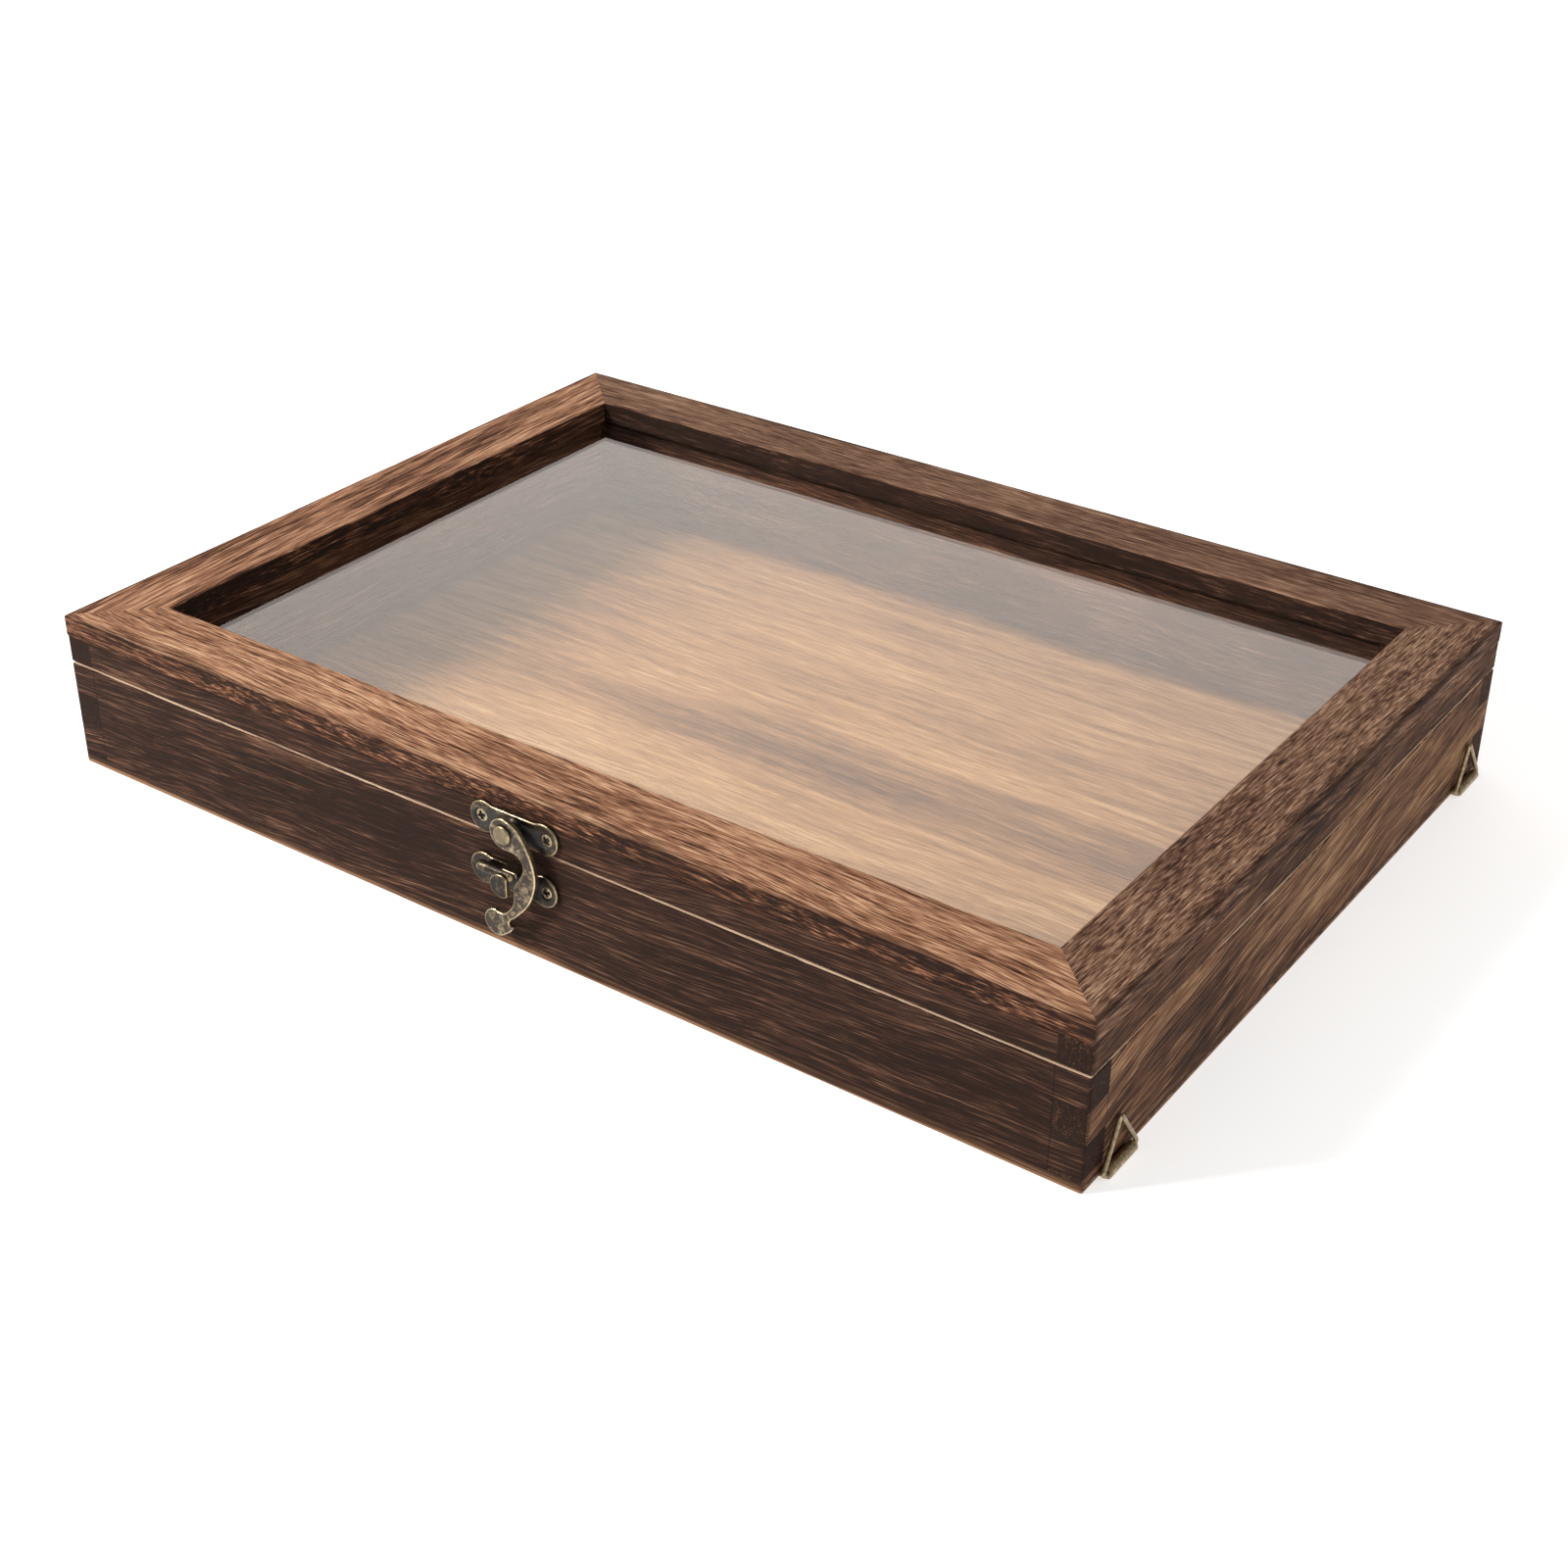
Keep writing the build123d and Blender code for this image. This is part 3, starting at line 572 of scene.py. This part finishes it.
def band_faces(first, count, rows):
    """Quads of a tube of rings that follow each other in the vertex list."""
    k, i = np.meshgrid(np.arange(rows - 1), np.arange(count), indexing="ij")
    here, there = first + k * count, first + (k + 1) * count
    after = (i + 1) % count
    return np.stack([here + i, here + after, there + after, there + i], -1).reshape(-1, 4)


def circle(radius, centre=(0.0, 0.0), count=40):
    turn = np.linspace(0, 2 * np.pi, count, endpoint=False)
    return np.column_stack([np.cos(turn), np.sin(turn)]) * radius + centre


class Shell:
    """Points, faces and values of rubbed edges and painted shade of a piece that grows shell by
    shell.
    """

    def __init__(self):
        self.points = np.zeros((0, 3))
        self.wear = np.zeros(0)
        self.faces = []

    def add(self, points, wear, faces):
        first = len(self.points)
        self.points = np.vstack([self.points, points])
        self.wear = np.concatenate([self.wear, np.broadcast_to(wear, len(points))])
        self.faces += [tuple(int(i) + first for i in face) for face in faces]

    def slab(self, outline, profile, holes=()):
        """A plate with a shaped rim: the outline moved inwards and up along a profile.

        profile lists (inset, height, wear) from the back rim to the front. holes lists a
        centre and (radius, height) pairs from the front to the back. The flat faces are the
        polygons left between the last ring and the holes.
        """
        count = len(outline)
        rings = [np.column_stack([inset(outline, d), np.full(count, h)]) for d, h, _ in profile]
        wear = [np.full(count, w) for _, _, w in profile]
        faces = [band_faces(0, count, len(profile))]
        total = count * len(profile)
        fronts, backs = [total - count + np.arange(count)], [np.arange(count)]
        for centre, steps in holes:
            loops = [circle(r, centre) for r, _ in steps]
            rings += [np.column_stack([c, np.full(len(c), h)]) for c, (_, h) in zip(loops, steps)]
            # the hole walls take -0.7: painted shade and dirt in the screw holes
            wear += [np.full(len(c), -0.7) for c in loops]
            size = len(loops[0])
            faces.append(band_faces(total, size, len(steps)))
            fronts.append(total + np.arange(size))
            total += size * len(steps)
            backs.append(total - size + np.arange(size))
        points = np.vstack(rings)
        flats = []
        for loops, sign in ((fronts, 1), (backs, -1)):
            ids = np.concatenate(loops)
            polygons = [[Vector((*points[i][:2], 0)) for i in loop] for loop in loops]
            corners = ids[np.array(tessellate_polygon(polygons))]
            a, b, c = (points[corners[:, k], :2] for k in range(3))
            turn = (b - a)[:, 0] * (c - a)[:, 1] - (b - a)[:, 1] * (c - a)[:, 0]
            flip = turn * sign < 0
            corners[flip] = corners[flip][:, ::-1]
            flats += [tuple(c) for c in corners]
        self.add(points, np.concatenate(wear), [*np.vstack(faces), *flats])

    def turned(self, profile, axes=(0, 1, 2), centre=(0, 0, 0), steps=48, dent=None):
        """A turned body: (radius, height, wear) pairs swept round, with a pole at each end.

        axes says which coordinates are the two across and the one along. dent is a function
        of the places across that is taken off the height.
        """
        radii, heights, wear_and_shade_values = (np.array(v, float) for v in zip(*profile[1:-1]))
        turn = np.linspace(0, 2 * np.pi, steps, endpoint=False)
        across = radii[:, None] * np.cos(turn), radii[:, None] * np.sin(turn)
        along = np.repeat(heights[:, None], steps, 1)
        if dent is not None:
            along = along - dent(*across) * (heights > heights[0] - 0.3)[:, None]
        body = np.column_stack([across[0].ravel(), across[1].ravel(), along.ravel()])
        top = profile[0][1] - (dent(np.zeros(1), np.zeros(1))[0] if dent is not None else 0.0)
        points = np.vstack([body, [0, 0, top], [0, 0, profile[-1][1]]])
        ring, last = np.arange(steps), (len(radii) - 1) * steps
        after = (ring + 1) % steps
        pole, foot = len(body), len(body) + 1
        faces = [tuple(f[::-1]) for f in band_faces(0, steps, len(radii))]
        faces += list(zip(np.full(steps, pole), ring, after))
        faces += list(zip(np.full(steps, foot), last + after, last + ring))
        placed = np.empty_like(points)
        placed[:, list(axes)] = points
        wear = np.concatenate([np.repeat(wear_and_shade_values, steps), [profile[0][2], profile[-1][2]]])
        odd = Matrix([[float(axes[r] == c) for c in range(3)] for r in range(3)]).determinant() < 0
        self.add(placed + centre, wear, [f[::-1] for f in faces] if odd else faces)

    def piece(self, name, spot, body, nodes, material, right=RIGHT, up=UP):
        """Make the mesh at a spot, in the row frame, and let it ride on a body."""
        out = right.cross(up)
        turn = np.array([right, up, out])
        points = np.array(spot) + self.points * MM @ turn
        mesh = bpy.data.meshes.new(name)
        mesh.from_pydata(points.tolist(), [], self.faces)
        mesh.attributes.new("wear", "FLOAT", "POINT").data.foreach_set(
            "value", self.wear.astype(np.float32))
        mesh.validate()
        mesh.shade_smooth()
        mesh.set_sharp_from_angle(angle=math.radians(38))
        obj = bpy.data.objects.new(name, mesh)
        bpy.context.scene.collection.objects.link(obj)
        obj.data.materials.append(material)
        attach(obj, body)
        if nodes:
            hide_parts(*nodes)
        return obj


def rolled(thickness, roll, steps=5, back=0.12):
    """Profile of a rim: up the side, then a quarter round of the given roll to the front."""
    turn = np.linspace(0, np.pi / 2, steps + 1)
    sides = [(back, 0.0, 0.2), (0.0, back, 0.3)]
    arc = [(roll * (1 - math.cos(t)), thickness - roll + roll * math.sin(t),
            0.1 + 0.9 * math.sin(2 * t) ** 2) for t in turn]
    return sides + arc + [(roll + 0.15, thickness, -0.05), (roll + 0.4, thickness, 0.0)]


PLATE_T = 1.2
EAR_X = 10.3
WAIST_H = 4.1
EAR_SCREW_X = 11.2
SCREW_R = 1.1
SCREW_HEAD_R = 2.0
SCREW_SEAT = 0.75
HINGE_X = 105.0
HINGE_SCREW_X, HINGE_SCREW_Z = 8.0, 6.3
HANGER_Y = 110.0
STRAP_SCREW_X, STRAP_SCREW_Y = 168.5, 4.0
STRAP_SCREW_BASE = 1.05


def eared_outline():
    """A plate outline: two circles joined by a bar, with the corners between them filled."""
    turn = np.radians(np.linspace(-124, 124, 60))
    right = np.column_stack([np.cos(turn), np.sin(turn)]) * EAR_R + (EAR_X, 0)
    neck = np.array([(5.2, WAIST_H), (0.0, WAIST_H), (-5.2, WAIST_H)])
    left = -right
    return even_loop(np.vstack([right, neck, left, -neck]), 220, 14)


def screw_holes():
    sink = [(SCREW_R + PLATE_T, PLATE_T), (SCREW_R, 0.0)]
    return [((side * EAR_SCREW_X, 0.0), sink) for side in (-1, 1)]


class DISPLAYCASE_OT_hook_plate(bpy.types.Operator):
    """Make the hook's eared plate with its round boss"""

    bl_idname = "display_case.hook_plate"
    bl_label = "Make hook plate"

    def execute(self, context):
        shell = Shell()
        shell.slab(eared_outline(), rolled(PLATE_T, 0.55), screw_holes())
        boss = [(0, 3.7, 0.0), (2.0, 3.7, 0.0), (2.35, 3.66, 0.5), (2.55, 3.4, 0.8),
                (2.62, 2.6, 0.2), (2.62, 1.9, 0.0), (3.1, 1.32, 0.0), (3.6, 1.15, 0.0),
                (0, 1.0, 0.0)]
        shell.turned(boss)
        shell.piece("hook_plate_rolled", HOOK_PIVOT, "lid", ["hook_plate"],
                    latch_metal(context))
        return {"FINISHED"}


class DISPLAYCASE_OT_hook(bpy.types.Operator):
    """Make the swing hook: eye, long sweep, ledge and round thumb piece, with a rolled rim"""

    bl_idname = "display_case.hook"
    bl_label = "Make hook"

    def execute(self, context):
        eye_r, thickness = 4.8, 1.5
        outline = np.vstack([
            three_point_arc((0, -eye_r), (-eye_r, 0), (0, eye_r), 30),
            through([(0, eye_r), (4.3, 2.9), (8.6, -3.5), (10.3, -9.7), (9.6, -14.8),
                     (7.1, -20.2), (1.9, -26.0)]),
            three_point_arc((1.9, -26.0), (0.5, -27.2), (0.2, -28.9)),
            three_point_arc((0.2, -28.9), (1.0, -28.9), (1.7, -28.4), 6),
            three_point_arc((1.7, -28.4), (0.7, -30.4), (-1.1, -31.8)),
            three_point_arc((-1.1, -31.8), (-8.4, -30.2), (-4.8, -25.0), 40),
            three_point_arc((-4.8, -25.0), (-2.7, -25.6), (-0.6, -24.7)),
            through([(-0.6, -24.7), (1.7, -21.9), (2.5, -18.5), (2.4, -14.9)]),
            through([(2.4, -14.9), (4.4, -12.6), (6.1, -9.2), (5.7, -6.3), (3.4, -4.9),
                     (0, -eye_r)]),
        ])
        shell = Shell()
        hole = [((0.0, 0.0), [(1.62, thickness), (1.62, 0.0)])]
        shell.slab(even_loop(outline, 420, 5), rolled(thickness, 0.5), hole)
        spot = Vector((HOOK_PIVOT.x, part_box("hook")[1].y, HOOK_PIVOT.z))
        metal = bronze("hook_bronze", context.scene.case_look, lift=1.1)
        shell.piece("hook_rolled", spot, "hook", ["hook"], metal)
        return {"FINISHED"}


class DISPLAYCASE_OT_catch(bpy.types.Operator):
    """Make the catch: eared plate, raised bar, half-round head and the tongue for the hook"""

    bl_idname = "display_case.catch"
    bl_label = "Make catch"

    def execute(self, context):
        shell = Shell()
        shell.slab(eared_outline(), rolled(PLATE_T, 0.55), screw_holes())
        # the bar: a round rod along the wall with rounded ends, on a web
        turn = np.linspace(0, np.pi / 2, 9)
        cap = [(1.55 * math.sin(t), 2.3 + 1.55 * math.cos(t), 0.8 * math.sin(2 * t))
               for t in turn]
        tail = [(r, -5.1 - h, w) for r, h, w in cap[::-1]]
        shell.turned(cap + tail, axes=(1, 2, 0), centre=(0, 4.0, 5.0), steps=32)
        bar = np.array([(-7.4, 2.3), (2.3, 2.3), (2.3, 4.0), (-7.4, 4.0)])
        shell.slab(even_loop(bar, 120, 4), [(0, 0.9, 0), (0, 5.0, 0)])
        # the head in front: a disc cut off flat on its right, with a rolled rim
        angles = np.radians(np.linspace(50, 310, 60))
        disc = np.column_stack([np.cos(angles), np.sin(angles)]) * 3.6 + (0.7, 1.4)
        front = [(d, 5.9 + h, w) for d, h, w in rolled(1.5, 0.4)]
        shell.slab(even_loop(disc, 160, 3), front)
        tongue = np.array([(0.0, 4.4), (5.1, 4.4), (5.1, 5.9), (0.0, 5.9)])
        shell.slab(even_loop(tongue, 120, 4), rolled(5.6, 0.35))
        shell.piece("catch_rolled", CATCH_CENTRE, "base", ["catch_plate"],
                    latch_metal(context))
        return {"FINISHED"}


class DISPLAYCASE_OT_rivet(bpy.types.Operator):
    """Make the rivet that the hook turns on"""

    bl_idname = "display_case.rivet"
    bl_label = "Make rivet"

    def execute(self, context):
        top = (WALL_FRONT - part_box("hook_rivet")[0].y) / MM
        under = top - 0.9
        # the head's underside takes -0.9: painted shade under its rim
        profile = [(0, top, 0.45), (1.2, top - 0.01, 0.45), (2.0, top - 0.06, 0.5),
                   (2.45, top - 0.16, 0.8), (2.75, top - 0.36, 0.9), (2.9, top - 0.62, 0.1),
                   (2.9, under, -0.9), (1.5, under, 0.0), (1.5, 0.05, 0.0), (0, 0.0, 0.0)]
        shell = Shell()
        shell.turned(profile)
        shell.piece("hook_rivet_domed", HOOK_PIVOT, "lid", ["hook_rivet"],
                    latch_metal(context))
        return {"FINISHED"}


def latch_metal(context):
    """One bronze for the plates and the rivet, made at its first use."""
    return bpy.data.materials.get("latch_bronze") or bronze(
        "latch_bronze", context.scene.case_look, lift=0.65, patina=0.3)


def cross_recess(x, y):
    """Depth of a cross recess: two tapered slots that get shallower away from the centre."""
    def slot(along, over):
        reach = np.clip((1.4 - np.abs(along)) / 0.3, 0, 1)
        width = np.clip((0.5 - np.abs(over)) / 0.15, 0, 1)
        return reach * width * (0.9 - 0.25 * np.abs(along))
    return np.maximum(slot(x, y), slot(y, x))


def add_screw(shell, spot, turned_by):
    """A countersunk screw with a low domed head, its axis out of the plate."""
    rings = [(r, 0.3 * (1 - (r / SCREW_HEAD_R) ** 2), 0.3 + 0.4 * r / SCREW_HEAD_R)
             for r in np.linspace(0.09, 1.86, 24)]
    # below the head rim and down the shank the value is -0.9 to -1.0: painted shade under the head
    # and in the hole
    rim = [(SCREW_HEAD_R, -0.12, 0.3), (1.93, -0.24, -0.9), (SCREW_R, -1.0, -0.9),
           (SCREW_R, -5.4, 0.0), (0, -6.2, 0.0)]
    c, s = math.cos(turned_by), math.sin(turned_by)
    before = len(shell.points)
    shell.turned([(0, 0.3, -1.0), *rings, *rim], steps=64, dent=cross_recess)
    part = shell.points[before:]
    # the cross recess is set to -1: black painted shade with dirt
    sunk = cross_recess(part[:, 0], part[:, 1]) * (part[:, 2] > -0.9)
    shell.wear[before:] = np.where(sunk > 0.12, -1.0, shell.wear[before:])
    shell.points[before:] = part @ np.array([[c, s, 0], [-s, c, 0], [0, 0, 1]]) + spot


class DISPLAYCASE_OT_screws(bpy.types.Operator):
    """Make every screw with a domed, cross-slotted head"""

    bl_idname = "display_case.screws"
    bl_label = "Make screws"

    def execute(self, context):
        rng = np.random.default_rng(11)
        metal = bronze("screw_bronze", context.scene.case_look, grain_mm=0.6)

        def group(name, spots, origin, body, node, right=RIGHT, up=UP):
            shell = Shell()
            for across, over in spots:
                add_screw(shell, (across, over, SCREW_SEAT), rng.uniform(0.2, 1.3))
            shell.piece(name, origin, body, [node], metal, right, up)

        ears = [(side * EAR_SCREW_X, 0.0) for side in (-1, 1)]
        group("hook_plate_screws_slotted", ears, HOOK_PIVOT, "lid", "hook_plate_screws")
        group("catch_screws_slotted", ears, CATCH_CENTRE, "base", "catch_screws")
        back = Vector((0, -WALL_FRONT, SAW_CUT * MM))
        leaves = [(x + side, HINGE_SCREW_Z) for x in (-HINGE_X, HINGE_X)
                  for side in (-HINGE_SCREW_X, HINGE_SCREW_X)]
        group("hinge_screws_lid_slotted", leaves, back, "lid", "hinge_screws_lid", -RIGHT, UP)
        group("hinge_screws_base_slotted", [(x, -up) for x, up in leaves], back, "base",
              "hinge_screws_base", -RIGHT, UP)
        straps = [(y + side, STRAP_SCREW_X) for y in (-HANGER_Y, HANGER_Y)
                  for side in (-STRAP_SCREW_Y, STRAP_SCREW_Y)]
        group("hanger_screws_slotted", straps, Vector((0, 0, STRAP_SCREW_BASE * MM)), "base",
              "hanger_screws", AWAY, RIGHT)
        return {"FINISHED"}


class DISPLAYCASE_OT_fittings(bpy.types.Operator):
    """Finish the hinges, hanger straps and wire rings in darkened metal"""

    bl_idname = "display_case.fittings"
    bl_label = "Finish hinges and hangers"

    def execute(self, context):
        look = context.scene.case_look
        hinge = bronze("hinge_bronze", look, lift=0.9, grain_mm=1.5, patina=0.15, rub=0.32)
        wire = bronze("hanger_bronze", look, lift=1.0, grain_mm=0.5, rub=0.5)
        for name, node in frame["nodes"].items():
            if name.startswith("hinge_") and "screws" not in name:
                dress(node, hinge)
            if name.startswith(("hanger_strap", "hanger_ring")):
                dress(node, wire)
        return {"FINISHED"}


# ---- studio ----------------------------------------------------------------------------------
CAMERA_AT = Vector((0.36843, -0.52330, 0.36999))
CAMERA_UP = Vector((-0.29869744, 0.41131735, 0.86116078))
CAMERA_AHEAD = Vector((-0.49561263, 0.70427865, -0.50829097))


class DISPLAYCASE_OT_stage(bpy.types.Operator):
    """Set the pale floor, the soft lights, the world and the camera"""

    bl_idname = "display_case.stage"
    bl_label = "Set stage"

    def execute(self, context):
        scene, studio = context.scene, context.scene.case_studio
        scene.view_settings.view_transform = "Standard"

        finish = Finish("floor_white")
        x, y, z = finish.place()
        mottle = finish.noise(finish.point(x / 9.0, y / 9.0, 0.0), 2.0)
        paint = finish.surface(
            Base_Color=(0.85, 0.85, 0.85, 1.0),
            Roughness=0.9 + mottle * 0.1,
            Emission_Color=(1.0, 1.0, 1.0, 1.0),
            Emission_Strength=studio.floor_glow,
        )
        reach, low = 4.0, -0.0004
        mesh = bpy.data.meshes.new("floor")
        corners = [(-reach, -reach, low), (reach, -reach, low), (reach, reach, low),
                   (-reach, reach, low)]
        mesh.from_pydata(corners, [], [(0, 1, 2, 3)])
        floor = bpy.data.objects.new("floor", mesh)
        floor.data.materials.append(paint)
        scene.collection.objects.link(floor)

        world = bpy.data.worlds.new("studio")
        world.use_nodes = True
        tree = world.node_tree
        tree.nodes.clear()
        seen = tree.nodes.new("ShaderNodeLightPath")
        white = tree.nodes.new("ShaderNodeBackground")
        white.inputs["Color"].default_value = (1.0, 1.0, 1.0, 1.0)
        white.inputs["Strength"].default_value = 1.0
        soft = tree.nodes.new("ShaderNodeBackground")
        soft.inputs["Color"].default_value = (1.0, 0.985, 0.97, 1.0)
        soft.inputs["Strength"].default_value = studio.ambient
        join = tree.nodes.new("ShaderNodeMixShader")
        out = tree.nodes.new("ShaderNodeOutputWorld")
        tree.links.new(seen.outputs["Is Camera Ray"], join.inputs[0])
        tree.links.new(soft.outputs[0], join.inputs[1])
        tree.links.new(white.outputs[0], join.inputs[2])
        tree.links.new(join.outputs[0], out.inputs[0])
        scene.world = world

        for name, at, size, power, tint in (
            ("back_softbox", (-0.95, 1.55, 1.0), (2.4, 1.5), studio.back_power, (1, 0.88, 0.80)),
            ("side_softbox", (1.5, -0.2, 0.9), (1.0, 1.0), studio.side_power, (1, 0.97, 0.93)),
            ("key_softbox", (-0.75, -0.95, 0.9), (0.3, 0.3), studio.key_power, (1, 0.98, 0.95)),
        ):
            lamp = bpy.data.lights.new(name, "AREA")
            lamp.shape = "RECTANGLE"
            lamp.size, lamp.size_y = size
            lamp.energy = power
            lamp.color = tint
            holder = bpy.data.objects.new(name, lamp)
            holder.location = at
            holder.rotation_mode = "QUATERNION"
            holder.rotation_quaternion = (-Vector(at)).to_track_quat("-Z", "Y")
            scene.collection.objects.link(holder)

        lens = bpy.data.cameras.new("camera")
        lens.sensor_width = 36.0
        lens.lens = studio.lens
        lens.clip_start = 0.02
        camera = bpy.data.objects.new("camera", lens)
        camera_right = CAMERA_AHEAD.cross(CAMERA_UP)
        turn = Matrix((camera_right, CAMERA_UP, -CAMERA_AHEAD)).transposed()
        camera.matrix_world = Matrix.Translation(CAMERA_AT) @ turn.to_4x4()
        scene.collection.objects.link(camera)
        scene.camera = camera
        return {"FINISHED"}


class CaseLook(bpy.types.PropertyGroup):
    """Colours of the metal fittings"""

    bronze_dark: FloatVectorProperty(
        name="Dark bronze", description="Lacquered metal on flats and in hollows",
        subtype="COLOR", size=3, min=0.0, max=1.0, default=(0.050, 0.040, 0.033))
    bronze_bright: FloatVectorProperty(
        name="Rubbed bronze", description="Bare metal on rubbed edges",
        subtype="COLOR", size=3, min=0.0, max=1.0, default=(0.66, 0.51, 0.31))
    patina: FloatProperty(
        name="Patina", description="How much the flats are rubbed through in patches",
        subtype="FACTOR", min=0.0, max=1.0, default=0.45)


class CaseStudio(bpy.types.PropertyGroup):
    """Strength of the studio's light, and the lens"""

    ambient: FloatProperty(
        name="Ambient", description="Brightness of the room all round", min=0.0, default=0.33)
    floor_glow: FloatProperty(
        name="Floor glow", description="Light given off by the white floor", min=0.0, default=0.55)
    back_power: FloatProperty(
        name="Back softbox", description="Power of the large softbox behind the case",
        unit="POWER", min=0.0, default=14.0)
    side_power: FloatProperty(
        name="Side softbox", description="Power of the softbox on the right",
        unit="POWER", min=0.0, default=7.0)
    key_power: FloatProperty(
        name="Key softbox", description="Power of the small softbox in front on the left",
        unit="POWER", min=0.0, default=23.0)
    lens: FloatProperty(
        name="Lens", description="Focal length in millimetres on a 36 mm sensor",
        subtype="DISTANCE_CAMERA", min=1.0, default=54.83)


STEPS = (
    DISPLAYCASE_OT_woodwork, DISPLAYCASE_OT_glazing, DISPLAYCASE_OT_hook_plate,
    DISPLAYCASE_OT_hook, DISPLAYCASE_OT_catch, DISPLAYCASE_OT_rivet, DISPLAYCASE_OT_screws,
    DISPLAYCASE_OT_fittings, DISPLAYCASE_OT_stage,
)


class DISPLAYCASE_PT_panel(bpy.types.Panel):
    """Lists the steps that finish the display case"""

    bl_idname = "DISPLAYCASE_PT_panel"
    bl_label = "Display Case"
    bl_space_type = "VIEW_3D"
    bl_region_type = "UI"
    bl_category = "Display Case"

    def draw(self, context):
        for step in STEPS:
            self.layout.operator(step.bl_idname)
        for group in (context.scene.case_look, context.scene.case_studio):
            for key in group.__annotations__:
                self.layout.prop(group, key)


CLASSES = (CaseLook, CaseStudio, *STEPS, DISPLAYCASE_PT_panel)


def register():
    for cls in CLASSES:
        bpy.utils.register_class(cls)
    bpy.types.Scene.case_look = PointerProperty(type=CaseLook)
    bpy.types.Scene.case_studio = PointerProperty(type=CaseStudio)


def unregister():
    del bpy.types.Scene.case_studio
    del bpy.types.Scene.case_look
    for cls in reversed(CLASSES):
        bpy.utils.unregister_class(cls)


def main():
    """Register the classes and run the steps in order."""
    register()
    for step in STEPS:
        group, name = step.bl_idname.split(".")
        getattr(getattr(bpy.ops, group), name)()


if __name__ == "__main__":
    main()
